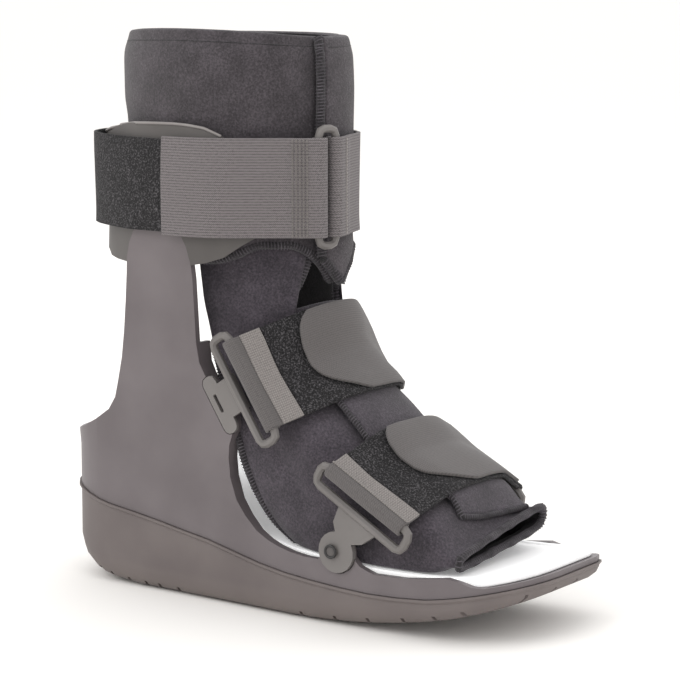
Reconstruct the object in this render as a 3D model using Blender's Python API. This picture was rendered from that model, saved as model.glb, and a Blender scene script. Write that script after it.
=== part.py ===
"""Low walking boot: rocker outsole, moulded shell with two uprights, foam footbed,
soft open-heel liner, calf cuff and three straps.

Metres, +Z up, +X toward the toe. The near side is -Y. The origin is on the ground,
under the middle of the boot.
"""

import math
from collections import namedtuple

import bmesh
import bpy
from mathutils import Vector
from mathutils.bvhtree import BVHTree

# Driving sizes of the sole and shell
SOLE_LENGTH = 0.2925
HEEL_WIDTH = 0.088
FOREFOOT_NEAR = 0.051
FOREFOOT_FAR = 0.053
HEEL_HEIGHT = 0.050
TOE_START = 0.844
TOE_ROUND_NEAR = 2.05
TOE_ROUND_FAR = 7.0
FLAT_START = 0.222
FLAT_END = 0.556
HEEL_ROCKER_LENGTH = 0.065
HEEL_ROCKER_RISE = 0.026
TOE_ROCKER_RADIUS = 0.400
EDGE_ROUND = 0.011
NOTCH_WIDTH = 0.0018
NOTCH_DEPTH = 0.0035
NOTCH_LENGTH = 0.014

SHELL_INSET = 0.0006
SHELL_WALL = 0.0035
SHELL_FLOOR = 0.0025
UPRIGHT_TOP = 0.200
UPRIGHT_WIDTH = 0.0445
UPRIGHT_SHOULDER = 0.168
UPRIGHT_FLARE = 0.0095
FLARE_START = 0.070
FLANGE_DEPTH = 0.012
FLANGE_WALL = 0.0028
CUT_REACH = 0.010

CUP_RISE = 0.032
FOAM_WALL = 0.0045
FOAM_LIP = 0.0006

# Driving sizes of the soft pieces
BOOT_HEIGHT = 0.290
LEG_WIDTH = 0.100
LEG_DEPTH = 0.127
LEG_AXIS = 0.335
LINER_WALL = 0.005
LINER_OVERLAP = 0.0055
TUCK = 0.0058
FLAP_WALL = 0.003
CUFF_WALL = 0.0076
POCKET_GAP = 0.0005
CUFF_GAP = 0.0011

# Driving sizes of the straps and their hardware
STRAP_WIDTH = 0.050
STRAP_THICK = 0.0018
STRAP_LEVEL = 0.215
LOOP_ROD = 0.0046
LOOP_HALF_LENGTH = 0.0293
LOOP_HALF_WIDTH = 0.0058
LOOP_CORNER = 0.0035
LOOP_PROUD = 0.0016
RING_ROD = 0.0042
RING_HALF_LENGTH = 0.0293
RING_HALF_WIDTH = 0.0052
RING_TURN = -15.0
PLATE_THICK = 0.0021
TONGUE_START, TONGUE_END = 0.0190, 0.0205
TONGUE_TOP, TONGUE_BOTTOM = 0.0128, 0.0108
TONGUE_CORNER = 0.0040
NECK_TOP, NECK_BOTTOM = 0.0110, 0.0080
NECK_START, NECK_END = 0.0030, 0.0150
SLIT_SHIFT, SLIT_DROP = 0.0020, 0.0200
SLIT_HALF_LENGTH = 0.0050
SLIT_HALF_WIDTH = 0.0010
PLATE_TOP, PLATE_BOTTOM = 0.0120, 0.0150
PLATE_NECK, PLATE_FOOT = 0.0105, 0.0090
PLATE_START, PLATE_WAIST = 0.0036, 0.0155
DISC_ALONG, DISC_DROP = 0.0015, 0.0282
RIVET_ALONG, RIVET_DROP = 0.0035, 0.0290
DISC_RADIUS = 0.0105
DISC_THICK = 0.0030
SEAT_DEPTH = 0.0012
RIVET_RADIUS = 0.0019
RIVET_HEAD = 0.0036
RIVET_HEAD_THICK = 0.0012
FOLD_START = -math.pi / 3

# Clearances: between hard pieces, under cloth, and under a draped strap
GAP = 0.0003
SOFT_GAP = 0.0005
DRAPE_GAP = 0.0011
FLAP_LIFT = 0.0016

DISC_CENTRE = (-DISC_ALONG, -DISC_DROP)
RIVET_CENTRE = (-RIVET_ALONG, -RIVET_DROP)
HEEL_HALF = HEEL_WIDTH / 2
HEEL_END = -SOLE_LENGTH / 2
TOE_END = SOLE_LENGTH / 2
NEAR, FAR = -1, 1

# The sole: width between heel and ball, parting line, footbed top, cup wall, wall-to-foam room
Sole = namedtuple("Sole", "along fill parting footbed cup room")
SOLE = [
    Sole(0.000, 0.00, 1.000, 1.160, 0.30, 0.0),
    Sole(0.085, 0.00, 0.932, 1.130, 0.45, 0.0),
    Sole(0.144, 0.00, 0.860, 1.100, 0.65, 0.0),
    Sole(0.216, 0.10, 0.805, 1.050, 0.95, 0.0),
    Sole(0.267, 0.17, 0.760, 1.000, 1.00, 0.0),
    Sole(0.330, 0.30, 0.700, 0.930, 0.80, 0.3),
    Sole(0.386, 0.42, 0.650, 0.850, 0.35, 1.0),
    Sole(0.479, 0.65, 0.530, 0.745, 0.03, 1.0),
    Sole(0.554, 0.83, 0.460, 0.680, 0.00, 0.8),
    Sole(0.677, 1.00, 0.404, 0.636, 0.00, 0.3),
    Sole(0.738, 1.02, 0.390, 0.624, 0.00, 0.1),
    Sole(0.814, 1.00, 0.406, 0.628, 0.00, 0.0),
    Sole(0.896, 1.00, 0.470, 0.644, 0.00, 0.0),
    Sole(1.000, 1.00, 0.576, 0.664, 0.00, 0.0),
]

# The outsole's lower edge: how far in and how far up each turn of its round edge is
Edge = namedtuple("Edge", "inset rise")
LOWER_EDGE = [Edge(0.80, 0.0), Edge(0.45, 0.13), Edge(0.18, 0.45), Edge(0.05, 1.0)]

# Notches: along the sole at each side, and across the toe as shares of the forefoot
SIDE_NOTCHES = [0.110, 0.141, 0.183, 0.224, 0.256, 0.301, 0.581, 0.653, 0.722, 0.794, 0.856, 0.905]
TOE_NOTCHES = [-0.42, 0.0, 0.42, 0.80]

# The shell's side outline, as shares of the sole's length and the uprights' height
Point = namedtuple("Point", "along up")
REAR_EDGE = [
    Point(-0.014, 0.383), Point(0.031, 0.388), Point(0.079, 0.410), Point(0.120, 0.438),
    Point(0.154, 0.470), Point(0.171, 0.505), Point(0.181, 0.552), Point(0.193, 0.615),
    Point(0.202, 0.685), Point(0.210, 0.765),
]
FRONT_EDGE = [
    Point(0.369, 0.750), Point(0.369, 0.675), Point(0.374, 0.625), Point(0.385, 0.595),
    Point(0.397, 0.578), Point(0.414, 0.550), Point(0.431, 0.515), Point(0.442, 0.490),
    Point(0.444, 0.470), Point(0.440, 0.445), Point(0.433, 0.420), Point(0.430, 0.385),
    Point(0.432, 0.337), Point(0.446, 0.280), Point(0.467, 0.242), Point(0.492, 0.209),
    Point(0.516, 0.191), Point(0.540, 0.179), Point(0.568, 0.170), Point(0.598, 0.165),
    Point(0.626, 0.165),
]
SIDE_RIM = [
    Point(0.713, 0.163), Point(0.728, 0.155), Point(0.742, 0.149), Point(0.803, 0.151),
    Point(0.858, 0.161), Point(0.882, 0.165), Point(0.899, 0.159), Point(0.920, 0.146),
    Point(0.937, 0.143), Point(0.968, 0.150), Point(1.002, 0.160), Point(1.032, 0.168),
]
UPRIGHT_CENTRE = 0.2925
FLANGE_SETBACK = 0.06

# How deep the front edge's return is, from the shoulder down to the side rim
Flange = namedtuple("Flange", "up depth")
FLANGE = [Flange(0.16, 0.33), Flange(0.21, 0.48), Flange(0.30, 0.62), Flange(0.50, 0.66),
          Flange(0.60, 0.85), Flange(0.70, 1.0), Flange(0.90, 1.0)]

# The leg wrap: outline at each level, as shares of the boot's height and the leg's width and depth
Leg = namedtuple("Leg", "level half front back")
LEG = [
    Leg(0.330, 0.43, 0.48, 0.54),
    Leg(0.560, 0.46, 0.48, 0.51),
    Leg(0.690, 0.475, 0.46, 0.49),
    Leg(0.845, 0.495, 0.465, 0.50),
    Leg(0.955, 0.495, 0.460, 0.497),
    Leg(0.985, 0.480, 0.445, 0.485),
    Leg(1.000, 0.465, 0.430, 0.472),
]

# The leg wrap's lower edge round the leg, in degrees from the front, as a share of the height
Hem = namedtuple("Hem", "turn level")
WRAP_HEM = [
    Hem(0, 0.570), Hem(12, 0.610), Hem(20, 0.628), Hem(32, 0.640), Hem(48, 0.640), Hem(62, 0.622),
    Hem(75, 0.612), Hem(148, 0.612), Hem(155, 0.560), Hem(161, 0.420), Hem(168, 0.368), Hem(180, 0.360),
]
WRAP_LEVELS = [0.0, 0.20, 0.42, 0.64, 0.84, 0.94, 1.0]

# The cuff round the leg, in degrees from the front: its edges, and how much of its full wall it has
Cuff = namedtuple("Cuff", "turn lower upper low_wall top_wall")
CUFF = [
    Cuff(42, 0.660, 0.684, 0.35, 0.35),
    Cuff(50, 0.655, 0.745, 0.45, 0.35),
    Cuff(58, 0.640, 0.795, 0.80, 0.35),
    Cuff(66, 0.620, 0.828, 1.00, 0.38),
    Cuff(76, 0.608, 0.843, 1.00, 0.40),
    Cuff(90, 0.600, 0.848, 1.00, 0.40),
    Cuff(124, 0.597, 0.843, 1.00, 0.45),
    Cuff(138, 0.600, 0.832, 1.20, 0.90),
    Cuff(152, 0.620, 0.822, 1.40, 1.35),
    Cuff(165, 0.652, 0.820, 1.45, 1.40),
    Cuff(180, 0.660, 0.820, 1.45, 1.40),
]
CUFF_LEVELS = [0.0, 0.33, 0.66, 0.88, 1.0]

# The foot wrap: sections along the leg and foot. Tilt is the top line's direction above +X.
# Its half width is a share of the leg's width at the top and of the sole's room lower down
Foot = namedtuple("Foot", "along up tilt leg half front back top_round sole_round")
FOOT = [
    Foot(0.335, 0.662, 0.0, 1.0, 0.385, 0.410, 0.40, 2.0, 2.0),
    Foot(0.342, 0.569, 6.0, 1.0, 0.390, 0.400, 0.44, 2.0, 2.0),
    Foot(0.373, 0.466, 18.0, 0.6, 0.385, 0.355, 0.44, 2.2, 2.2),
    Foot(0.434, 0.367, 31.5, 0.0, 0.412, 0.305, 0.40, 2.3, 2.8),
    Foot(0.564, 0.276, 45.0, 0.0, 0.441, 0.240, 0.36, 2.4, 4.5),
    Foot(0.697, 0.176, 60.0, 0.0, 0.441, 0.220, 0.28, 2.6, 6.0),
    Foot(0.817, 0.159, 75.0, 0.0, 0.436, 0.148, 0.20, 2.5, 6.0),
    Foot(0.885, 0.148, 86.0, 0.0, 0.401, 0.075, 0.14, 2.4, 5.0),
]

# Where the foot wrap starts, in degrees from its top line, as a place in the table above
Start = namedtuple("Start", "turn place")
WRAP_START = [
    Start(0, 1.8), Start(33, 1.8), Start(36, 0.0), Start(74, 0.0), Start(80, 2.72),
    Start(94, 3.44), Start(118, 3.90), Start(148, 4.35), Start(180, 4.65),
]
FOOT_TURNS = [0, 12, 23, 33, 36, 48, 60, 70, 77, 85, 94, 105, 118, 132, 148, 164]
WRAP_ROWS = 12
FLAP_START, FLAP_END = 1.95, 6.9
FLAP_EDGE_NEAR = -24.0
FLAP_EDGE_FAR = 31.0

# Each foot bracket: its place, the way its strap leaves, and how far its loop sits that way
Bracket = namedtuple("Bracket", "along up lean shift")
INSTEP = Bracket(0.475, 0.569, 31.5, 0.0013)
TOE = Bracket(0.720, 0.310, 60.0, 0.0010)
AXIS_DROP = 0.0140


# Tables and outlines

def through(xs, ys, x):
    """A smooth curve through the points, with no overshoot."""
    if x <= xs[0]:
        return ys[0]
    if x >= xs[-1]:
        return ys[-1]
    steps = [b - a for a, b in zip(xs, xs[1:])]
    rises = [(b - a) / step for a, b, step in zip(ys, ys[1:], steps)]
    slopes = [rises[0]]
    for before, after in zip(rises, rises[1:]):
        level = before * after <= 0
        slopes.append(0.0 if level else 2 * before * after / (before + after))
    slopes.append(rises[-1])
    i = max(k for k in range(len(steps)) if xs[k] <= x)
    t = (x - xs[i]) / steps[i]
    ease = t * t * (3 - 2 * t)
    start = t * (1 - t) * (1 - t) * steps[i] * slopes[i]
    end = t * t * (t - 1) * steps[i] * slopes[i + 1]
    return ys[i] + ease * (ys[i + 1] - ys[i]) + start + end


def column(rows, name, at):
    """One column of a table, read at a value of the table's first column."""
    return through([row[0] for row in rows], [getattr(row, name) for row in rows], at)


def along(share):
    return HEEL_END + share * SOLE_LENGTH


def share_of(x):
    return min(1.0, max(0.0, (x - HEEL_END) / SOLE_LENGTH))


def sole_value(name, x):
    return column(SOLE, name, share_of(x))


def parting(x):
    return HEEL_HEIGHT * sole_value("parting", x)


def footbed_top(x):
    return HEEL_HEIGHT * sole_value("footbed", x)


def tread(x):
    """Height of the outsole's underside."""
    flat_start, flat_end = along(FLAT_START), along(FLAT_END)
    if x < flat_start:
        reach = min(0.98, (flat_start - x) / HEEL_ROCKER_LENGTH)
        return HEEL_ROCKER_RISE * (1 - math.sqrt(1 - reach * reach))
    if x > flat_end:
        return TOE_ROCKER_RADIUS - math.sqrt(TOE_ROCKER_RADIUS ** 2 - (x - flat_end) ** 2)
    return 0.0


def half_width(x, side):
    """Half the sole's width on one side."""
    fore = FOREFOOT_NEAR if side == NEAR else FOREFOOT_FAR
    power = TOE_ROUND_NEAR if side == NEAR else TOE_ROUND_FAR
    heel_centre, toe_start = HEEL_END + HEEL_HALF, along(TOE_START)
    if x < heel_centre:
        return math.sqrt(max(0.0, HEEL_HALF ** 2 - (heel_centre - x) ** 2))
    if x < toe_start:
        return HEEL_HALF + sole_value("fill", x) * (fore - HEEL_HALF)
    reach = min(1.0, (x - toe_start) / (TOE_END - toe_start))
    return fore * (1 - reach ** power) ** (1 / power)


def sole_stations():
    heel_centre, toe_start = HEEL_END + HEEL_HALF, along(TOE_START)
    heel = [heel_centre - HEEL_HALF * math.cos(math.pi / 16 * i) for i in range(8)]
    middle = [heel_centre + (toe_start - heel_centre) * i / 12 for i in range(12)]
    toe = [toe_start + (TOE_END - toe_start) * math.sin(math.pi / 16 * i) for i in range(9)]
    return heel + middle + toe


def sole_outline():
    """The sole's plan, from the heel along the near side to the toe and back."""
    stations = sole_stations()
    near = [(x, -half_width(x, NEAR)) for x in stations]
    far = [(x, half_width(x, FAR)) for x in reversed(stations[1:-1])]
    return near + far


def inset_outline(outline, inset):
    """The outline moved inwards by a distance, or by a function of x."""
    count = len(outline)
    moved = []
    for i, (x, y) in enumerate(outline):
        before, after = outline[i - 1], outline[(i + 1) % count]
        run = Vector((after[0] - before[0], after[1] - before[1])).normalized()
        distance = inset(x) if callable(inset) else inset
        moved.append((x - run.y * distance, y + run.x * distance))
    return moved


def sole_ring(inset, height):
    """A ring of the sole's plan at a height, which may be a function of x."""
    ring = []
    for x, y in inset_outline(sole_outline(), inset):
        z = height(x) if callable(height) else height
        ring.append((x, y, z))
    return ring


def flare(z):
    """How far the shell's side leans out at a height."""
    return UPRIGHT_FLARE * max(0.0, z - FLARE_START) / (UPRIGHT_TOP - FLARE_START)


def wall(x, z, side):
    """Distance of the shell's outer face from the middle plane."""
    return half_width(x, side) - SHELL_INSET + flare(z)


def oval(turn, half, front, back, top_round=2.0, sole_round=2.0):
    """Forward and sideways reach of a round section at an angle from its front."""
    c, s = math.cos(turn), math.sin(turn)
    power = 2 / (top_round if c >= 0 else sole_round)
    ahead = (front if c >= 0 else -back) * abs(c) ** power
    aside = math.copysign(half * abs(s) ** power, s)
    return ahead, aside


def leg_surface(turn, z, offset=0.0):
    """A point on the leg wrap's outside, the angle in degrees from the front."""
    level = z / BOOT_HEIGHT
    half = LEG_WIDTH * column(LEG, "half", level) + offset
    front = LEG_DEPTH * column(LEG, "front", level) + offset
    back = LEG_DEPTH * column(LEG, "back", level) + offset
    ahead, aside = oval(math.radians(turn), half, front, back)
    return Vector((along(LEG_AXIS) + ahead, aside, z))


def foot_surface(turn, place, offset=0.0):
    """A point on the foot wrap's outside. Its underside rests on the footbed."""
    places = list(range(len(FOOT)))
    row = [through(places, [foot[i] for foot in FOOT], place) for i in range(len(Foot._fields))]
    section = Foot(*row)
    room = 2 * (FOREFOOT_NEAR - SHELL_INSET)
    width = LEG_WIDTH * section.leg + room * (1 - section.leg)
    half = width * section.half + offset
    front = LEG_DEPTH * section.front + offset
    back = LEG_DEPTH * section.back + offset
    ahead, aside = oval(math.radians(turn), half, front, back, section.top_round, section.sole_round)
    tilt = math.radians(section.tilt)
    x = along(section.along) + ahead * math.cos(tilt)
    z = BOOT_HEIGHT * section.up + ahead * math.sin(tilt)
    rest = footbed_top(x) + FOAM_LIP + SOFT_GAP + GAP - min(0.0, offset)
    return Vector((x, aside, max(z, rest)))


# Meshes and materials

def clear_scene():
    for obj in list(bpy.data.objects):
        bpy.data.objects.remove(obj, do_unlink=True)


def finish(name, colour, roughness, metallic=0.0):
    """A plain material from an sRGB hex colour."""
    material = bpy.data.materials.new(name)
    material.use_nodes = True
    shader = material.node_tree.nodes["Principled BSDF"]
    levels = [int(colour[i:i + 2], 16) / 255 for i in (1, 3, 5)]
    linear = [v / 12.92 if v <= 0.04045 else ((v + 0.055) / 1.055) ** 2.4 for v in levels]
    shader.inputs["Base Color"].default_value = (*linear, 1.0)
    shader.inputs["Roughness"].default_value = roughness
    shader.inputs["Metallic"].default_value = metallic
    material.diffuse_color = (*linear, 1.0)
    return material


def add_object(name, bm, material):
    bmesh.ops.remove_doubles(bm, verts=bm.verts, dist=0.000001)
    bmesh.ops.recalc_face_normals(bm, faces=bm.faces)
    mesh = bpy.data.meshes.new(name)
    bm.to_mesh(mesh)
    bm.free()
    mesh.materials.append(material)
    obj = bpy.data.objects.new(name, mesh)
    bpy.context.scene.collection.objects.link(obj)
    return obj


def skin(bm, rows, closed):
    """Faces over a grid of vertices, closed round each row or open."""
    for low, high in zip(rows, rows[1:]):
        count = len(low)
        for j in range(count if closed else count - 1):
            k = (j + 1) % count
            bm.faces.new((low[j], low[k], high[k], high[j]))


def vertex_rows(bm, grid):
    return [[bm.verts.new(point) for point in row] for row in grid]


def loft(name, rings, material, strips=False):
    """A closed body through rings of equal count, its ends capped whole or in strips."""
    bm = bmesh.new()
    rows = vertex_rows(bm, rings)
    skin(bm, rows, closed=True)
    for row in (rows[0], rows[-1]):
        if strips:
            cap_strips(bm, row)
        else:
            bm.faces.new(row)
    return add_object(name, bm, material)


def cap_strips(bm, row):
    """Cap a ring whose two halves mirror each other, with one strip for each station."""
    count, half = len(row), len(row) // 2
    bm.faces.new((row[0], row[1], row[-1]))
    bm.faces.new((row[half], row[half + 1], row[half - 1]))
    for i in range(1, half - 1):
        bm.faces.new((row[i], row[i + 1], row[count - i - 1], row[count - i]))


def sheet(name, outer, inner, material, closed=False):
    """A wall between an outer and an inner grid, its edges closed."""
    bm = bmesh.new()
    out_rows, in_rows = vertex_rows(bm, outer), vertex_rows(bm, inner)
    skin(bm, out_rows, closed)
    skin(bm, in_rows, closed)
    skin(bm, [out_rows[0], in_rows[0]], closed)
    skin(bm, [out_rows[-1], in_rows[-1]], closed)
    if not closed:
        for j in (0, -1):
            edges = [[row[j] for row in out_rows], [row[j] for row in in_rows]]
            skin(bm, edges, closed=False)
    return add_object(name, bm, material)


def prism(name, outline, place, material):
    """An outline of flat points pushed between two depths, each point placed by a function."""
    return loft(name, [[place(u, v, depth) for u, v in outline] for depth in (0, 1)], material)


def boolean(target, tool, operation):
    modifier = target.modifiers.new(operation.title(), "BOOLEAN")
    modifier.operation = operation
    modifier.solver = "EXACT"
    modifier.object = tool
    tool.hide_render = True
    tool.display_type = "WIRE"


def tree(*objects):
    """Search trees of finished pieces, for draping over them."""
    bpy.context.view_layer.update()
    graph = bpy.context.evaluated_depsgraph_get()
    return [BVHTree.FromObject(obj, graph) for obj in objects]


def arc(centre, radius, start, end, steps):
    """Points on an arc, angles in degrees."""
    points = []
    for i in range(steps + 1):
        angle = math.radians(start + (end - start) * i / steps)
        points.append(Vector((centre[0] + radius * math.cos(angle), centre[1] + radius * math.sin(angle))))
    return points


def spread(first, last, count):
    return [first + (last - first) * i / (count - 1) for i in range(count)]


# Sole and shell

def build_outsole(material):
    def edge_height(rise):
        def height(x):
            fit = min(1.0, (parting(x) - tread(x)) / (1.6 * EDGE_ROUND))
            return tread(x) + rise * EDGE_ROUND * fit
        return height

    rings = [sole_ring(edge.inset * EDGE_ROUND, edge_height(edge.rise)) for edge in LOWER_EDGE]
    rings.append(sole_ring(SHELL_INSET, lambda x: parting(x) - 4 * SHELL_INSET))
    rings.append(sole_ring(-SHELL_INSET, lambda x: parting(x) - 2 * SHELL_INSET))
    rings.append(sole_ring(-SHELL_INSET, parting))
    outsole = loft("outsole", rings, material, strips=True)
    boolean(outsole, build_notches(material), "DIFFERENCE")
    return outsole


def build_notches(material):
    """Cutters for the notches round the tread's edge."""
    bm = bmesh.new()
    reach = NOTCH_LENGTH / 2 - EDGE_ROUND / 4
    for side in (NEAR, FAR):
        for share in SIDE_NOTCHES:
            x = along(share)
            y = side * (half_width(x, side) - reach)
            add_box(bm, (x, y, tread(x)), (NOTCH_WIDTH, NOTCH_LENGTH, 2 * NOTCH_DEPTH))
    for share in TOE_NOTCHES:
        x = TOE_END - reach
        add_box(bm, (x, share * FOREFOOT_NEAR, tread(x)), (NOTCH_LENGTH, NOTCH_WIDTH, 2 * NOTCH_DEPTH))
    return add_object("cut_notches", bm, material)


def add_box(bm, centre, size):
    made = bmesh.ops.create_cube(bm, size=1.0)
    bmesh.ops.scale(bm, verts=made["verts"], vec=size)
    bmesh.ops.translate(bm, verts=made["verts"], vec=centre)


def side_point(point):
    return Vector((along(point.along), UPRIGHT_TOP * point.up))


def shoulder_outline(grow=0.0):
    """The upright's round top, from its rear edge over to its front edge."""
    centre = along(UPRIGHT_CENTRE)
    rise = UPRIGHT_TOP - UPRIGHT_SHOULDER
    points = []
    for i in range(13):
        angle = math.pi * (1 - i / 12)
        points.append(Vector((centre + (UPRIGHT_WIDTH / 2 + grow) * math.cos(angle),
                              UPRIGHT_SHOULDER + (rise + grow) * math.sin(angle))))
    return points


def front_edge():
    """The shell's front edge on each side, from the shoulder down to the side rim."""
    top = Vector((along(UPRIGHT_CENTRE) + UPRIGHT_WIDTH / 2, UPRIGHT_SHOULDER))
    return [top] + [side_point(point) for point in FRONT_EDGE]


def bracket_point(bracket, t, d):
    """A point in the side plane, t along the bracket's slot and d the way its strap leaves."""
    lean = math.radians(bracket.lean)
    x = along(bracket.along) + t * math.sin(lean) + d * math.cos(lean)
    z = UPRIGHT_TOP * bracket.up - t * math.cos(lean) + d * math.sin(lean)
    return Vector((x, z))


def side_outline():
    """The shell seen from the side, as one closed outline."""
    rear = [side_point(point) for point in REAR_EDGE]
    disc = bracket_point(TOE, *DISC_CENTRE)
    ear = arc(disc, DISC_RADIUS - SEAT_DEPTH, 190, -10, 8)
    rim = [side_point(point) for point in SIDE_RIM]
    floor = [Vector((rim[-1].x, -CUT_REACH)), Vector((rear[0].x, -CUT_REACH))]
    return rear + shoulder_outline() + front_edge() + ear + rim + floor


def build_shell(material):
    base = SHELL_FLOOR + GAP
    top = UPRIGHT_TOP + CUT_REACH
    leaned = SHELL_INSET - flare(top)
    outer = [sole_ring(SHELL_INSET, lambda x: parting(x) + GAP), sole_ring(SHELL_INSET, FLARE_START),
             sole_ring(leaned, top)]
    shell = loft("shell", outer, material, strips=True)
    inset = SHELL_INSET + SHELL_WALL
    inner = [sole_ring(inset, lambda x: parting(x) + base), sole_ring(inset, FLARE_START),
             sole_ring(inset - flare(top + CUT_REACH), top + CUT_REACH)]
    boolean(shell, loft("cut_hollow", inner, material, strips=True), "DIFFERENCE")
    reach = 2 * LEG_WIDTH

    def across(u, v, depth):
        return (u, reach * (2 * depth - 1), v)

    boolean(shell, prism("keep_sides", side_outline(), across, material), "INTERSECT")
    for side, word in ((NEAR, "near"), (FAR, "far")):
        boolean(shell, build_flange("add_flange_" + word, side, material), "UNION")
        tongue = bracket_prism("cut_tongue_" + word, INSTEP, tongue_outline(GAP), side,
                               (-PLATE_THICK - GAP, CUT_REACH), material)
        boolean(shell, tongue, "DIFFERENCE")
        seat = bracket_prism("cut_seat_" + word, TOE, arc(DISC_CENTRE, DISC_RADIUS + 2 * GAP, 0, 340, 17),
                             side, (-SEAT_DEPTH - GAP, CUT_REACH), material)
        boolean(shell, seat, "DIFFERENCE")
        hole = bracket_prism("cut_rivet_" + word, TOE, arc(RIVET_CENTRE, RIVET_RADIUS + GAP, 0, 330, 11),
                             side, (-CUT_REACH, CUT_REACH), material)
        boolean(shell, hole, "DIFFERENCE")
    return shell


def build_flange(name, side, material):
    """The returned front edge: a strip that runs inwards from the wall's front edge."""
    edge = front_edge()[1:]
    rings = []
    for before, point, after in zip(edge, edge[1:], edge[2:]):
        run = (after - before).normalized()
        into = Vector((run.y, -run.x)) * FLANGE_WALL
        face = wall(point.x, point.y, side) - SHELL_WALL / 2
        depth = FLANGE_DEPTH * column(FLANGE, "depth", point.y / UPRIGHT_TOP) - SHELL_WALL / 2
        start = point + into * FLANGE_SETBACK
        end = point + into
        rings.append([(start.x, side * face, start.y), (start.x, side * (face - depth), start.y),
                      (end.x, side * (face - depth), end.y), (end.x, side * face, end.y)])
    return loft(name, rings, material)


def build_footbed(material):
    """Foam footbed: a flat slab with a raised cup wall round the heel."""
    def outer_inset(x):
        room = (FLANGE_DEPTH * 0.66 - SHELL_WALL) * sole_value("room", x)
        return SHELL_INSET + SHELL_WALL + GAP + room

    def cup_top(x):
        return footbed_top(x) + FOAM_LIP + CUP_RISE * sole_value("cup", x)

    def step(extra):
        return lambda x: outer_inset(x) + extra

    rings = [
        sole_ring(step(0.0), lambda x: parting(x) + GAP + SHELL_FLOOR + GAP),
        sole_ring(step(0.0), cup_top),
        sole_ring(step(FOAM_WALL * 0.8), cup_top),
        sole_ring(step(FOAM_WALL), footbed_top),
    ]
    return loft("footbed", rings, material, strips=True)


# Soft leg and foot

def turned(rows, name, turn):
    """A column whose table runs from the front round one side to the back."""
    return column(rows, name, abs((turn + 180) % 360 - 180))


def wrap_offset(turn):
    """The leg wrap's outer end steps out over its inner end. The turn runs from 12 to -373."""
    step = min(1.0, max(0.0, (-325 - turn) / 20))
    return LINER_OVERLAP * step * step * (3 - 2 * step)


def build_leg_wrap(material):
    """An open tube whose front flap overlaps, with a tongue down the back."""
    turns = spread(12, -373, 43)
    outer, inner = [], []
    for level in WRAP_LEVELS:
        out_row, in_row = [], []
        for turn in turns:
            low = BOOT_HEIGHT * turned(WRAP_HEM, "level", turn)
            z = low + level * (BOOT_HEIGHT - low)
            offset = wrap_offset(turn)
            out_row.append(leg_surface(turn, z, offset))
            in_row.append(leg_surface(turn, z, offset - LINER_WALL))
        outer.append(out_row)
        inner.append(in_row)
    return sheet("liner_leg", outer, inner, material)


def panel_turn(turn, place):
    """The ankle panels' front edges lean in toward the top."""
    lean = 16.0 * max(0.0, 1 - place / 1.5) * max(0.0, min(1.0, (80 - abs(turn)) / 44))
    return turn - math.copysign(lean, turn)


def wrap_places(turn):
    """The foot wrap's rows along one line of its surface, which even out toward the toe."""
    start = column(WRAP_START, "place", abs(turn))
    even = spread(WRAP_START[0].place, len(FOOT) - 1, WRAP_ROWS)
    power = 3 if start < even[0] else 1
    fades = [(1 - i / (WRAP_ROWS - 1)) ** power for i in range(WRAP_ROWS)]
    return [place + (start - even[0]) * fade for place, fade in zip(even, fades)]


def build_foot_wrap(material):
    """One wrap with two ankle panels, an open heel, an open ankle front and an open toe."""
    half = FOOT_TURNS[1:]
    turns = [0] + half + [180] + [-turn for turn in reversed(half)]
    outer, inner = [], []
    for i in range(WRAP_ROWS):
        out_row, in_row = [], []
        for turn in turns:
            place = wrap_places(turn)[i]
            lean_turn = panel_turn(turn, place)
            out_row.append(foot_surface(lean_turn, place))
            in_row.append(foot_surface(lean_turn, place, -LINER_WALL))
        outer.append(out_row)
        inner.append(in_row)
    return sheet("liner_foot", outer, inner, material, closed=True)


def build_flap(material):
    """The foot wrap's top flap, over the near panel."""
    outer, inner = [], []
    for place in [FLAP_START] + wrap_places(0)[1:-1] + [FLAP_END]:
        out_row, in_row = [], []
        for turn in spread(FLAP_EDGE_NEAR, FLAP_EDGE_FAR, 7):
            out_row.append(foot_surface(turn, place, FLAP_LIFT + FLAP_WALL))
            in_row.append(foot_surface(turn, place, FLAP_LIFT))
        outer.append(out_row)
        inner.append(in_row)
    return sheet("liner_flap", outer, inner, material)


def build_cuff(material):
    """The calf cuff: a U round the back, with a pocket for each upright's top."""
    first = CUFF[0].turn
    turns = spread(-first, first - 360, 35)
    outer, inner = [], []
    for level in CUFF_LEVELS:
        out_row, in_row = [], []
        for turn in turns:
            low = BOOT_HEIGHT * turned(CUFF, "lower", turn)
            z = low + level * (BOOT_HEIGHT * turned(CUFF, "upper", turn) - low)
            low_wall, top_wall = turned(CUFF, "low_wall", turn), turned(CUFF, "top_wall", turn)
            thick = CUFF_WALL * (low_wall + (top_wall - low_wall) * level ** 3)
            start = wrap_offset(turn) + CUFF_GAP
            in_row.append(leg_surface(turn, z, start))
            out_row.append(leg_surface(turn, z, start + thick))
        outer.append(out_row)
        inner.append(in_row)
    cuff = sheet("cuff", outer, inner, material)
    for side, word in ((NEAR, "near"), (FAR, "far")):
        boolean(cuff, build_pocket("cut_pocket_" + word, side, material), "DIFFERENCE")
    return cuff


def build_pocket(name, side, material):
    """The room that an upright's top needs in the cuff."""
    outline = shoulder_outline(POCKET_GAP)
    low = UPRIGHT_SHOULDER - 2 * CUT_REACH
    outline += [Vector((outline[-1].x, low)), Vector((outline[0].x, low))]

    def place(u, v, depth):
        inside = wall(u, v, side) - SHELL_WALL - POCKET_GAP
        return (u, side * (inside if depth == 0 else LEG_WIDTH), v)

    return prism(name, outline, place, material)


# Brackets and rivets

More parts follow.
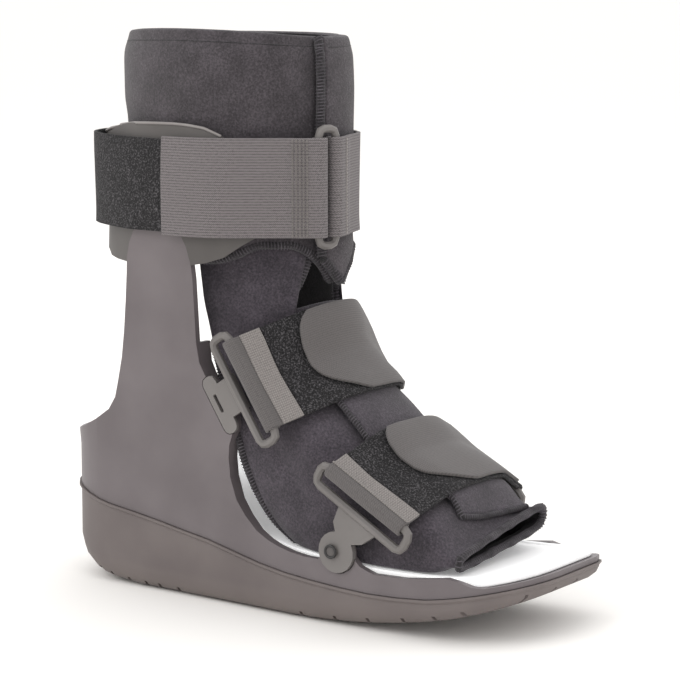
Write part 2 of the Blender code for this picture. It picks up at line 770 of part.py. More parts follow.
def bracket_place(bracket, side, depths):
    """Places bracket points on the shell's side, at a distance out from it."""
    def place(t, d, depth):
        flat = bracket_point(bracket, t, d)
        out = depths[0] if depth == 0 else depths[1]
        return (flat.x, side * (wall(flat.x, flat.y, side) + out), flat.y)
    return place


def bracket_prism(name, bracket, outline, side, depths, material):
    return prism(name, outline, bracket_place(bracket, side, depths), material)


def tongue_outline(grow=0.0):
    """The instep bracket's tongue, with its neck."""
    radius = TONGUE_CORNER + grow
    outline = arc((-TONGUE_TOP, -TONGUE_END), radius, 270, 180, 3)
    outline += arc((-TONGUE_TOP, -TONGUE_START), radius, 180, 90, 3)
    neck_low, neck_high = -NECK_TOP - grow, NECK_BOTTOM + grow
    outline += [Vector((neck_low, -NECK_END)), Vector((neck_low, -NECK_START))]
    outline += [Vector((neck_high, -NECK_START)), Vector((neck_high, -NECK_END))]
    outline += arc((TONGUE_BOTTOM, -TONGUE_START), radius, 90, 0, 3)
    return outline + arc((TONGUE_BOTTOM, -TONGUE_END), radius, 0, -90, 3)


def rod_loop(name, centre_line, rod, material):
    """A round rod bent into a closed loop of points."""
    count = len(centre_line)
    rings = []
    for i, point in enumerate(centre_line):
        run = (centre_line[(i + 1) % count] - centre_line[i - 1]).normalized()
        aside = run.cross(loop_axis(centre_line)).normalized()
        up = aside.cross(run).normalized()
        rings.append([point + rod / 2 * (math.cos(a) * aside + math.sin(a) * up)
                      for a in (math.pi / 4 * (k + 0.5) for k in range(8))])
    bm = bmesh.new()
    rows = vertex_rows(bm, rings)
    skin(bm, rows + [rows[0]], closed=True)
    return add_object(name, bm, material)


def loop_axis(points):
    centre = sum(points, Vector()) / len(points)
    third = len(points) // 4
    return (points[0] - centre).cross(points[third] - centre).normalized()


def slot_line(half_length, half_width, corner, steps=2):
    """A long loop with round corners, about its own centre."""
    line = []
    for end, aside, start in ((1, -1, -90), (1, 1, 0), (-1, 1, 90), (-1, -1, 180)):
        centre = (end * (half_length - corner), aside * (half_width - corner))
        line += arc(centre, corner, start, start + 90, steps)
    return line


def loop_point(bracket, side, t, d):
    """A point on the loop's centre line, which runs straight between two places on the side."""
    d += bracket.shift
    end = LOOP_HALF_LENGTH - LOOP_CORNER
    low, high = [wall(*bracket_point(bracket, t_end, d), side) for t_end in (-end, end)]
    out = low + (high - low) * (t + end) / (2 * end)
    flat = bracket_point(bracket, t, d)
    return Vector((flat.x, side * (out + LOOP_PROUD), flat.y))


def bracket_loop(name, bracket, side, material):
    corners = slot_line(LOOP_HALF_LENGTH, LOOP_HALF_WIDTH, LOOP_CORNER)
    line = [loop_point(bracket, side, t, d) for t, d in corners]
    return rod_loop(name, line, LOOP_ROD, material)


def build_instep_bracket(side, word, material):
    """A snap-in bracket: a loop for the strap and a tongue that sits in the shell."""
    bracket = bracket_loop("instep_bracket_" + word, INSTEP, side, material)
    tongue = bracket_prism("add_tongue_" + word, INSTEP, tongue_outline(), side, (-PLATE_THICK, 0.0), material)
    slit = slot_line(SLIT_HALF_LENGTH, SLIT_HALF_WIDTH, SLIT_HALF_WIDTH / 2, 1)
    hole = bracket_prism("cut_slit_" + word, INSTEP, [(t - SLIT_SHIFT, d - SLIT_DROP) for t, d in slit], side,
                         (-CUT_REACH, CUT_REACH), material)
    boolean(bracket, tongue, "UNION")
    boolean(bracket, hole, "DIFFERENCE")
    return bracket


def build_toe_bracket(side, word, material):
    """A riveted bracket: a loop for the strap on a round disc."""
    bracket = bracket_loop("toe_bracket_" + word, TOE, side, material)
    depths = (-SEAT_DEPTH, DISC_THICK - SEAT_DEPTH)
    neck = [Vector((-PLATE_NECK, -PLATE_WAIST)), Vector((-PLATE_TOP, -PLATE_START)),
            Vector((PLATE_BOTTOM, -PLATE_START)), Vector((PLATE_FOOT, -PLATE_WAIST))]
    disc = arc(DISC_CENTRE, DISC_RADIUS, 58, -238, 16)
    plate = bracket_prism("add_plate_" + word, TOE, neck + disc, side, depths, material)
    hole = bracket_prism("cut_plate_" + word, TOE, arc(RIVET_CENTRE, RIVET_RADIUS + GAP, 0, 330, 11), side,
                         (-CUT_REACH, CUT_REACH), material)
    boolean(bracket, plate, "UNION")
    boolean(bracket, hole, "DIFFERENCE")
    return bracket


def build_rivet(side, word, material):
    """A rivet through the disc and the shell's wall, with a head at each end."""
    face = DISC_THICK - SEAT_DEPTH + GAP
    back = -SHELL_WALL - GAP
    profile = [(back - RIVET_HEAD_THICK, RIVET_HEAD), (back, RIVET_HEAD), (back, RIVET_RADIUS),
               (face, RIVET_RADIUS), (face, RIVET_HEAD), (face + RIVET_HEAD_THICK, RIVET_HEAD * 0.8)]
    centre = bracket_point(TOE, *RIVET_CENTRE)
    out = wall(centre.x, centre.y, side)
    rings = []
    for depth, radius in profile:
        circle = arc((centre.x, centre.y), radius, 0, 330, 11)
        rings.append([(p.x, side * (out + depth), p.y) for p in circle])
    return loft("toe_rivet_" + word, rings, material)


# Straps

def drape(trees, ray, w, angle, step):
    """Distance to the outermost piece at a strap's corner, with a look half a step to each side."""
    far = 2 * LEG_WIDTH
    reach = 0.0
    looks = (-0.6, -0.3, 0.0, 0.3, 0.6)
    for row in looks:
        for turn in looks:
            axis, direction = ray(w + row * STRAP_WIDTH / 4, angle + turn * step)
            for one in trees:
                hit = one.ray_cast(axis + direction * far, -direction, far)
                if hit[0] is not None:
                    reach = max(reach, (hit[0] - axis).length)
    return reach


def foot_ray(bracket):
    """Rays across the foot from the axis of a bracket's strap, angles from its rising direction."""
    def ray(w, angle):
        axis, rise = foot_frame(bracket, w)
        return axis, math.cos(angle) * rise + math.sin(angle) * Vector((0.0, 1.0, 0.0))
    return ray


def leg_ray(w, angle):
    """Level rays from the leg's axis, angles from the front."""
    axis = Vector((along(LEG_AXIS), 0.0, STRAP_LEVEL + w))
    return axis, Vector((math.cos(angle), math.sin(angle), 0.0))


def taut(angles, reaches):
    """Pull a row of reaches tight, so that it bridges what dips between its high points."""
    count = len(angles)
    pulled = list(reaches)
    for k in range(count):
        for i in range(k):
            for j in range(k + 1, count):
                span = angles[j] - angles[i]
                if span >= math.pi * 0.9 or not reaches[i] or not reaches[j]:
                    continue
                area = reaches[i] * reaches[j] * math.sin(span)
                base = reaches[i] * math.sin(angles[k] - angles[i]) + reaches[j] * math.sin(angles[j] - angles[k])
                pulled[k] = max(pulled[k], area / base)
    return pulled


def fold(bar, leave, out, target):
    """Inner and outer points of a strap round a bar, which it leaves straight for a target."""
    inner, outer = [], []
    radius = LOOP_ROD / 2 + GAP
    away = target - bar
    last = math.atan2(away.dot(out), away.dot(leave)) + math.acos(min(1.0, radius / away.length)) - math.tau
    for angle in spread(FOLD_START, last, 7):
        direction = math.cos(angle) * leave + math.sin(angle) * out
        inner.append(bar + radius * direction)
        outer.append(bar + (radius + STRAP_THICK) * direction)
    return inner, outer


def foot_frame(bracket, w):
    """The plane of one row of a foot strap: a point on its axis and its rising direction."""
    flat = bracket_point(bracket, w, -AXIS_DROP)
    lean = math.radians(bracket.lean)
    return Vector((flat.x, 0.0, flat.y)), Vector((math.cos(lean), 0.0, math.sin(lean)))


def foot_strap_row(bracket, w, trees):
    """One row of the lower foot strap: fold, drape over the foot, fold."""
    axis, rise = foot_frame(bracket, w)
    aside = Vector((0.0, 1.0, 0.0))
    bars = [loop_point(bracket, side, w, LOOP_HALF_WIDTH) for side in (NEAR, FAR)]
    anchors = [bar + side * aside * (LOOP_ROD / 2 + GAP) for bar, side in zip(bars, (NEAR, FAR))]
    limits = [math.atan2((p - axis).dot(aside), (p - axis).dot(rise)) for p in anchors]
    ray = foot_ray(bracket)
    angles = spread(limits[0], limits[1], 15)
    step = angles[1] - angles[0]
    reaches = [drape(trees, ray, w, angle, step) + DRAPE_GAP for angle in angles[1:-1]]
    reaches = [(anchors[0] - axis).length] + reaches + [(anchors[1] - axis).length]
    pulled = taut(angles, reaches)
    inner, outer = [], []
    for angle, reach in list(zip(angles, pulled))[1:-1]:
        direction = ray(w, angle)[1]
        inner.append(axis + reach * direction)
        outer.append(axis + (reach + STRAP_THICK) * direction)
    near = fold(bars[0], rise, -aside, inner[0])
    far = fold(bars[1], rise, aside, inner[-1])
    return near[0] + inner + far[0][::-1], near[1] + outer + far[1][::-1]


def strap_widths(count=5, width=STRAP_WIDTH):
    return [width * (i / (count - 1) - 0.5) for i in range(count)]


def build_foot_strap(name, bracket, trees, material):
    rows = [foot_strap_row(bracket, w, trees) for w in strap_widths()]
    return sheet(name, [outer for _, outer in rows], [inner for inner, _ in rows], material)


def build_foot_tab(name, bracket, reach_near, trees, material):
    """The tab that returns over the foot, from the far bracket to a round end."""
    outer, inner = [], []
    width = STRAP_WIDTH * 0.96
    for w in strap_widths(7, width):
        axis = foot_frame(bracket, w)[0]
        round_off = 1 - math.sqrt(max(0.0, 1 - (2 * w / width) ** 2 * 0.93))
        first = math.radians(-reach_near + 24 * round_off)
        last = math.radians(62)
        ray = foot_ray(bracket)
        angles = spread(first, last, 11)
        step = angles[1] - angles[0]
        directions = [ray(w, angle)[1] for angle in angles]
        reaches = taut(angles, [drape(trees, ray, w, angle, step) + DRAPE_GAP for angle in angles])
        inner.append([axis + r * d for r, d in zip(reaches, directions)])
        outer.append([axis + (r + STRAP_THICK) * d for r, d in zip(reaches, directions)])
    return sheet(name, outer, inner, material)


def ring_frame(trees):
    """The leg ring's centre, its outward direction and its tangent."""
    turn = math.radians(RING_TURN)
    axis, direction = leg_ray(0.0, turn)
    look = 4 * RING_HALF_WIDTH / LEG_WIDTH
    reach = max(drape(trees, leg_ray, w, turn, 2 * look) for w in strap_widths())
    centre = axis + direction * (reach + 2 * DRAPE_GAP + STRAP_THICK + RING_ROD / 2)
    lean = math.radians(RING_TURN * 1.2)
    out = Vector((math.cos(lean), math.sin(lean), 0.0))
    return centre, out, Vector((-out.y, out.x, 0.0))


def build_ring(trees, material):
    centre, _, tangent = ring_frame(trees)
    corners = slot_line(RING_HALF_LENGTH, RING_HALF_WIDTH, LOOP_CORNER)
    line = [centre + tangent * v + Vector((0, 0, u)) for u, v in corners]
    return rod_loop("top_ring", line, RING_ROD, material)


def leg_strap(name, trees, turns, material, width=STRAP_WIDTH, folded=None):
    """A strap round the leg between two angles, one end folded round a ring bar."""
    outer, inner = [], []
    for w in strap_widths(5, width):
        z = STRAP_LEVEL + w
        axis = Vector((along(LEG_AXIS), 0.0, z))
        angles = [math.radians(turn) for turn in turns]
        order = 1 if angles[-1] > angles[0] else -1
        step = angles[1] - angles[0]
        directions = [leg_ray(w, angle)[1] for angle in angles]
        reaches = [drape(trees, leg_ray, w, angle, step) + DRAPE_GAP for angle in angles]
        if folded:
            bar, leave, out = folded
            bar = Vector((bar.x, bar.y, z))
            top = bar + out * (LOOP_ROD / 2 + GAP) - axis
            angles.insert(0, math.atan2(top.y, top.x))
            reaches.insert(0, top.length)
        pulled = taut([order * a for a in angles], reaches)[-len(directions):]
        in_row = [axis + r * d for r, d in zip(pulled, directions)]
        out_row = [axis + (r + STRAP_THICK) * d for r, d in zip(pulled, directions)]
        bent = fold(bar, leave, out, in_row[0]) if folded else ([], [])
        inner.append(bent[0] + in_row)
        outer.append(bent[1] + out_row)
    return sheet(name, outer, inner, material)


def build_leg_straps(pieces, materials):
    liner_leg, shell, cuff = pieces
    under = tree(liner_leg, shell, cuff)
    pile = leg_strap("top_strap_pile", under, spread(-36, -258, 30), materials["pile"], STRAP_WIDTH * 0.96)
    centre, out, tangent = ring_frame(under)
    build_ring(under, materials["bracket"])
    over = under + tree(pile)
    left = (centre - tangent * RING_HALF_WIDTH, -tangent, out)
    right = (centre + tangent * RING_HALF_WIDTH, tangent, out)
    leg_strap("top_strap_tab", over, spread(-30, -94, 9), materials["webbing"], folded=left)
    leg_strap("top_strap_front", over, spread(-6, 122, 17), materials["webbing"], folded=right)


def build():
    clear_scene()
    materials = {
        "rubber": finish("outsole_rubber", "#78706E", 0.65),
        "plastic": finish("shell_plastic", "#746D6F", 0.50),
        "foam": finish("footbed_foam", "#F4F4F4", 0.60),
        "cuff": finish("cuff_plastic", "#66615E", 0.60),
        "fabric": finish("liner_fabric", "#454045", 0.95),
        "pile": finish("strap_pile", "#2A2A2C", 0.95),
        "webbing": finish("strap_webbing", "#716C69", 0.80),
        "bracket": finish("bracket_plastic", "#787472", 0.45),
        "dark": finish("rivet_plastic", "#3C3A3A", 0.40),
    }
    build_outsole(materials["rubber"])
    shell = build_shell(materials["plastic"])
    build_footbed(materials["foam"])
    liner_leg = build_leg_wrap(materials["fabric"])
    liner_foot = build_foot_wrap(materials["fabric"])
    flap = build_flap(materials["fabric"])
    cuff = build_cuff(materials["cuff"])
    for side, word in ((NEAR, "near"), (FAR, "far")):
        build_instep_bracket(side, word, materials["bracket"])
        build_toe_bracket(side, word, materials["bracket"])
        build_rivet(side, word, materials["dark"])
    for word, bracket, reach in (("instep", INSTEP, 40), ("toe", TOE, 38)):
        under = tree(liner_foot, flap, liner_leg)
        strap = build_foot_strap(word + "_strap", bracket, under, materials["pile"])
        build_foot_tab(word + "_tab", bracket, reach, tree(strap), materials["webbing"])
    build_leg_straps((liner_leg, shell, cuff), materials)


build()
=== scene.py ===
"""The walking boot, dressed for its picture.

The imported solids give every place. Rigid pieces are smoothed copies of their solids,
and the padded liner, the straps, the stitching and the bound edges are modelled here.
"""

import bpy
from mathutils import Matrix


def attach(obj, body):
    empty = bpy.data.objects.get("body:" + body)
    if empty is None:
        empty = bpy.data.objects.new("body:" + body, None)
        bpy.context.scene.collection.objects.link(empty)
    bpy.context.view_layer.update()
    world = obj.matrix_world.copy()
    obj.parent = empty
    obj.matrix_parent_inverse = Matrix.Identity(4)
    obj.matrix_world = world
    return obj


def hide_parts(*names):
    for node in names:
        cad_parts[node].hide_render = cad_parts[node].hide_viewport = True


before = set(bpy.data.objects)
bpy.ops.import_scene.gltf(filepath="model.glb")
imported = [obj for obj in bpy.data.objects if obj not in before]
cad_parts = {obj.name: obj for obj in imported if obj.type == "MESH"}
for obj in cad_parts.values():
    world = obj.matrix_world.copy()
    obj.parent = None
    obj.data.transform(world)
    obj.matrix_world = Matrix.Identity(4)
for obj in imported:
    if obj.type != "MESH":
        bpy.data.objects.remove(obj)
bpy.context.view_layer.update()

import bisect
import itertools
import logging
import math
from collections.abc import Callable, Sequence
from dataclasses import dataclass, field
from enum import Enum

import bmesh
import bpy
from bpy.types import Material, Node, NodeSocket, Object
from mathutils import Vector, noise
from mathutils.bvhtree import BVHTree

log = logging.getLogger("walking_boot")

MM = 0.001
SOLE_LENGTH = 292.5 * MM
BOOT_HEIGHT = 290 * MM
LEG_AXIS_X = -48.3 * MM
STRAP_LEVEL = 215 * MM
STRAP_WIDTH = 50 * MM
STRAP_THICK = 1.8 * MM
TAB_THICK = 1.7 * MM
DRAPE_GAP = 0.4 * MM
WAVE_HEIGHT = 0.15 * MM
BAR_FOLD = 2.65 * MM
RING_FOLD = 2.45 * MM
WAVE_SCALE = math.tau / 20


class Side(Enum):
    """The boot's two long sides. The camera looks at the near one."""

    NEAR = -1
    FAR = 1

    @property
    def word(self) -> str:
        """The side's part of a node's name."""
        return self.name.lower()


# Materials


def srgb(code: str) -> tuple[float, float, float, float]:
    """Turn an sRGB hex colour to linear red, green and blue, with a full alpha."""
    levels = [int(code[i:i + 2], 16) / 255 for i in (1, 3, 5)]
    red, green, blue = (v / 12.92 if v <= 0.04045 else ((v + 0.055) / 1.055) ** 2.4 for v in levels)
    return (red, green, blue, 1.0)


@dataclass(frozen=True)
class Finish:
    """What all finishes share.

    Attributes:
        name: The material's name.
        roughness: The shader's roughness.
        sheen: How much soft back light its fibres catch.
    """

    name: str
    roughness: float = 0.6
    sheen: float = 0.0


class Shading:
    """A material under construction, with the nodes that the finishes share."""

    def __init__(self, finish: Finish, on_strap: bool = False) -> None:
        """Start the material. Its patterns follow the object, or the strap's UVs with on_strap."""
        self.material = bpy.data.materials.new(finish.name)
        self.material.use_nodes = True
        self.tree = self.material.node_tree
        self.shader = self.tree.nodes["Principled BSDF"]
        self.set(Roughness=finish.roughness, IOR=1.5, Sheen_Weight=finish.sheen, Sheen_Roughness=0.6)
        if on_strap:
            self.place = self.add("UVMap", {"uv_map": "Strap"}).outputs["UV"]
        else:
            self.place = self.add("TexCoord").outputs["Object"]

    def set(self, **values: float | tuple) -> None:
        """Set the shader's own sockets, named with _ for a blank."""
        for name, value in values.items():
            self.shader.inputs[name.replace("_", " ")].default_value = value

    def add(self, kind: str, settings: dict | None = None, values: dict | None = None,
            links: dict | None = None) -> Node:
        """Add one node.

        Args:
            kind: The node's Blender type, after ShaderNode.
            settings: Attributes to set on the node.
            values: Default values by socket name or index.
            links: Output sockets by the name or index of the input they feed.

        Returns:
            The new node.
        """
        node = self.tree.nodes.new("ShaderNode" + kind)
        for name, value in (settings or {}).items():
            setattr(node, name, value)
        for socket, value in (values or {}).items():
            node.inputs[socket].default_value = value
        for socket, source in (links or {}).items():
            self.tree.links.new(source, node.inputs[socket])
        return node

    def noise(self, scale: float, detail: float, **values: float) -> NodeSocket:
        """Add noise, by its waves in a unit of place, and return its value."""
        values = {"Scale": scale, "Detail": detail, **values}
        return self.add("TexNoise", values=values, links={"Vector": self.place}).outputs["Fac"]

    def wave(self, direction: str, scale: float, distortion: float) -> NodeSocket:
        """Add bands that run one way, and return their value."""
        values = {"Scale": scale, "Distortion": distortion, "Detail": 1.0}
        return self.add("TexWave", {"bands_direction": direction}, values, {"Vector": self.place}).outputs["Fac"]

    def math(self, operation: str, first: NodeSocket, second: NodeSocket | float,
             third: NodeSocket | None = None) -> NodeSocket:
        """Combine two or three values, of which the second may be a number."""
        values, links = {}, {0: first}
        (values if isinstance(second, float) else links)[1] = second
        if third:
            links[2] = third
        return self.add("Math", {"operation": operation}, values, links).outputs["Value"]

    def ramp(self, source: NodeSocket, *stops: tuple[float, str]) -> NodeSocket:
        """Colour a value, by positions and sRGB hex colours, lowest first."""
        node = self.add("ValToRGB", links={"Fac": source})
        elements = node.color_ramp.elements
        for element, (position, code) in zip(elements, (stops[0], stops[-1])):
            element.position, element.color = position, srgb(code)
        for position, code in stops[1:-1]:
            elements.new(position).color = srgb(code)
        return node.outputs["Color"]

    def bump(self, height: NodeSocket, strength: float, depth_mm: float,
             under: NodeSocket | None = None) -> NodeSocket:
        """Raise the surface, over another normal if there is one, and return its normal."""
        links = {"Height": height, "Normal": under} if under else {"Height": height}
        values = {"Strength": strength, "Distance": depth_mm * MM}
        return self.add("Bump", values=values, links=links).outputs["Normal"]

    def close(self, colour: NodeSocket, normal: NodeSocket) -> Material:
        """Link the colour and the normal, and return the finished material."""
        self.tree.links.new(colour, self.shader.inputs["Base Color"])
        self.tree.links.new(normal, self.shader.inputs["Normal"])
        return self.material


@dataclass(frozen=True)
class MouldedPlastic(Finish):
    """Injection-moulded nylon or rubber: a satin face with a faint spark-eroded grain.

    Attributes:
        base: Main colour.
        pale: Colour of the scuffed, dusty places.
        grain_mm: Size of the mould's grain, drawn coarse enough to show.
        depth_mm: Depth of that grain.
        cloud_mm: Size of the slow changes of colour.
        foot_dust: Colour that the lowest edge takes on, as worn rubber does.
    """

    base: str = "#746D6F"
    pale: str = "#857F80"
    grain_mm: float = 0.7
    depth_mm: float = 0.03
    cloud_mm: float = 45.0
    foot_dust: str | None = None

    def build(self) -> Material:
        """Build the material."""
        work = Shading(self)
        colour = work.ramp(work.noise(1000 / self.cloud_mm, 4.0), (0.38, self.base), (0.72, self.pale))
        if self.foot_dust:
            level = work.add("SeparateXYZ", links={"Vector": work.place}).outputs["Z"]
            low = work.add("MapRange", values={"From Min": 0.0, "From Max": 14 * MM, "To Min": 0.55, "To Max": 0.0},
                           links={"Value": level}).outputs["Result"]
            colour = work.add("Mix", {"data_type": "RGBA"}, {7: srgb(self.foot_dust)},
                              {"Factor": low, 6: colour}).outputs[2]
        flow = work.bump(work.noise(1000 / 30.0, 1.0), 0.25, 0.5)
        return work.close(colour, work.bump(work.noise(1000 / self.grain_mm, 3.0), 0.5, self.depth_mm, flow))


@dataclass(frozen=True)
class LoopCloth(Finish):
    """Brushed loop cloth over foam: dull fibres in tiny tufts, so it looks soft and speckled.

    Attributes:
        dark: Colour between the tufts.
        mid: The cloth's own colour.
        light: Colour of the tufts' tips.
        tuft_mm: Distance between tufts.
        depth_mm: Height of the tufts.
        patchy: How much slow patches shift the shade.
    """

    dark: str = "#2F2B31"
    mid: str = "#454048"
    light: str = "#6B6570"
    tuft_mm: float = 1.1
    depth_mm: float = 0.35
    patchy: float = 0.35

    def build(self) -> Material:
        """Build the material."""
        work = Shading(self)
        tuft = work.noise(1000 / self.tuft_mm, 5.0, Roughness=0.7)
        both = work.math("MULTIPLY_ADD", work.noise(1000 / 14.0, 3.0), self.patchy, tuft)
        middle = 0.5 + self.patchy / 2
        colour = work.ramp(both, (middle - 0.155, self.dark), (middle + 0.005, self.mid),
                           (middle + 0.245, self.light))
        return work.close(colour, work.bump(tuft, 0.8, self.depth_mm))


@dataclass(frozen=True)
class Webbing(Finish):
    """Twill webbing: ribs along the strap crossed by finer slanting threads, so it has a dry, lined look.

    Attributes:
        dark: Colour down between the threads.
        light: Colour on the threads.
        rib_mm: Distance between the ribs across the strap.
        pick_mm: Distance between the crossing threads.
        depth_mm: Height of the threads.
    """

    dark: str = "#4E4A49"
    light: str = "#7C7673"
    rib_mm: float = 1.5
    pick_mm: float = 1.1
    depth_mm: float = 0.25

    def build(self) -> Material:
        """Build the material."""
        work = Shading(self, on_strap=True)
        ribs = work.wave("Y", WAVE_SCALE / self.rib_mm, 0.4)
        weave = work.math("MULTIPLY", ribs, work.wave("DIAGONAL", 2 * WAVE_SCALE / self.pick_mm, 0.6))
        mixed = work.math("MULTIPLY_ADD", work.noise(0.9, 4.0), 0.8, weave)
        colour = work.ramp(mixed, (0.22, self.dark), (0.85, self.light))
        return work.close(colour, work.bump(weave, 0.7, self.depth_mm))


@dataclass(frozen=True)
class Foam(Finish):
    """Closed-cell EVA: matt white with fine pores.

    Attributes:
        base: Main colour.
        shade: Colour in the pores.
        glow: Painted light, an emission that keeps the foam's shaded cup white though the foam is no lamp.
    """

    base: str = "#FFFFFF"
    shade: str = "#F1F1F3"
    glow: float = 0.16

    def build(self) -> Material:
        """Build the material."""
        work = Shading(self)
        # Painted light: a faint white emission keeps the foam white where it lies in shade
        work.set(Emission_Color=srgb(self.base), Emission_Strength=self.glow)
        pores = work.noise(900.0, 3.0)
        return work.close(work.ramp(pores, (0.3, self.shade), (0.5, self.base)), work.bump(pores, 0.4, 0.05))


FINISHES = {
    # Dull warm rubber, a little dusty toward its lowest edge
    "outsole": MouldedPlastic("moulded_rubber", 0.62, base="#625A59", pale="#6E6664", foot_dust="#7C736F"),
    # Satin grey with a broad soft gloss
    "shell": MouldedPlastic("moulded_nylon", 0.48, base="#5F585A", pale="#6B6466"),
    # Darker and softer than the shell
    "cuff": MouldedPlastic("soft_polyethylene", 0.55, base="#4C4846", pale="#595553"),
    # The cuff's rim: a real rounded edge, drawn paler than the cuff as a painted highlight
    "bead": MouldedPlastic("cuff_painted_highlight", 0.45, base="#7C7775", pale="#8A8583"),
    # Smooth, the glossiest of the greys
    "bracket": MouldedPlastic("acetal_bracket", 0.42, base="#686462", pale="#74706E"),
    # A near-black ring round a paler head
    "rivet": MouldedPlastic("nylon_rivet", 0.35, base="#242323", pale="#302E2E"),
    "rivet_head": MouldedPlastic("rivet_head", 0.4, base="#4C4847", pale="#585453"),
    # Matt white, with painted light: a faint emission keeps it bright in the shade
    "foam": Foam("eva_foam", 0.75),
    # Dull charcoal with a soft speckle, slightly warmer on the leg than on the foot
    "cloth": LoopCloth("loop_cloth", 1.0, 0.15, dark="#292528", mid="#3A3539", light="#565055"),
    "foot_cloth": LoopCloth("loop_cloth_foot", 1.0, 0.15, dark="#28242A", mid="#3B353C", light="#564F57"),
    # Almost black inside the liner
    "lining": LoopCloth("dark_lining", 1.0, dark="#0C0B0C", mid="#191719", light="#2A272A"),
    # Black with pale loop tips, the roughest of the cloths
    "pile": LoopCloth("hook_pile", 1.0, 0.03, dark="#050405", mid="#151315", light="#6E6B6E", tuft_mm=0.9,
                      depth_mm=0.8, patchy=0.08),
    # Dry grey weave with fine lines
    "webbing": Webbing("woven_webbing", 0.85, 0.08, dark="#3D393A", light="#7C7677", rib_mm=1.4, pick_mm=1.0),
    # Brushed flat, so that the weave only just shows
    "tab": Webbing("brushed_tab", 0.85, 0.1, dark="#4C4848", light="#605C5B", rib_mm=1.1, depth_mm=0.1),
    # Paler and coarser, with deep stitches
    "block": Webbing("folded_webbing", 0.8, 0.08, dark="#5F5B59", light="#8D8784", rib_mm=1.2, pick_mm=1.2,
                     depth_mm=0.3),
    # Dark fuzzy edges under grey thread
    "binding": LoopCloth("edge_binding", 1.0, 0.15, dark="#141214", mid="#221F22", light="#413D41", tuft_mm=0.9,
                         depth_mm=0.5),
    "thread": MouldedPlastic("grey_thread", 0.8, base="#3E3A3F", pale="#5B565C", grain_mm=0.4, cloud_mm=6.0),
    # White-grey stitches that stand out on the webbing
    "pale_thread": MouldedPlastic("pale_thread", 0.7, base="#8E8987", pale="#A09B98", grain_mm=0.4),
}

Wardrobe = dict[str, Material]


# Making and placing pieces


def place_piece(obj: Object, slot: str, nodes: Sequence[str] = ()) -> Object:
    """Put a finished piece on the boot.

    Args:
        obj: The piece.
        slot: Not used; the record's material slot that the piece is meant for.
        nodes: The CAD nodes that it stands for.

    Returns:
        The piece.
    """
    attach(obj, "root")
    if nodes:
        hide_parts(*nodes)
    log.info("%s: %d faces", obj.name, len(obj.data.polygons) if obj.type == "MESH" else 0)
    return obj


def pad_piece(obj: Object, node: str) -> None:
    """Place a padded piece of the liner that stands for a CAD node."""
    place_piece(obj, "liner", [node])


def link(obj: Object) -> Object:
    """Show an object in the scene, and return it."""
    bpy.context.scene.collection.objects.link(obj)
    return obj


def new_object(name: str, bm: bmesh.types.BMesh, material: Material,
               sharp: float = math.radians(40)) -> Object:
    """Turn a bmesh to an object with smooth faces and sharp edges.

    Args:
        name: The object's name.
        bm: The mesh, which is freed.
        material: Its finish.
        sharp: Edges that bend more than this stay sharp.

    Returns:
        The new object.
    """
    for face in bm.faces:
        face.smooth = True
    for edge in bm.edges:
        edge.smooth = len(edge.link_faces) != 2 or edge.calc_face_angle(0.0) < sharp
    mesh = bpy.data.meshes.new(name)
    bm.to_mesh(mesh)
    bm.free()
    mesh.materials.append(material)
    return link(bpy.data.objects.new(name, mesh))


def copy_node(node: str, name: str, material: Material, bevel: float = 0.0) -> Object:
    """Copy a rigid CAD node with clean faces, smooth shading and softened edges.

    Args:
        node: The CAD node.
        name: The new piece's name.
        material: Its finish.
        bevel: Width of its edges' rounding, or 0.

    Returns:
        The new object.
    """
    bm = bmesh.new()
    bm.from_mesh(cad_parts[node].data)
    bmesh.ops.remove_doubles(bm, verts=bm.verts, dist=0.002 * MM)
    bmesh.ops.dissolve_degenerate(bm, edges=bm.edges, dist=0.002 * MM)
    bmesh.ops.dissolve_limit(bm, angle_limit=math.radians(0.6), verts=bm.verts, edges=bm.edges)
    obj = new_object(name, bm, material, math.radians(32))
    if bevel:
        soften(obj, bevel, 40).harden_normals = True
    return obj


def soften(obj: Object, width: float, degrees: float) -> bpy.types.BevelModifier:
    """Round the edges of an object that bend more than an angle, and return the modifier."""
    modifier = obj.modifiers.new("Edges", "BEVEL")
    modifier.width = width
    modifier.segments = 2
    modifier.limit_method = "ANGLE"
    modifier.angle_limit = math.radians(degrees)
    return modifier


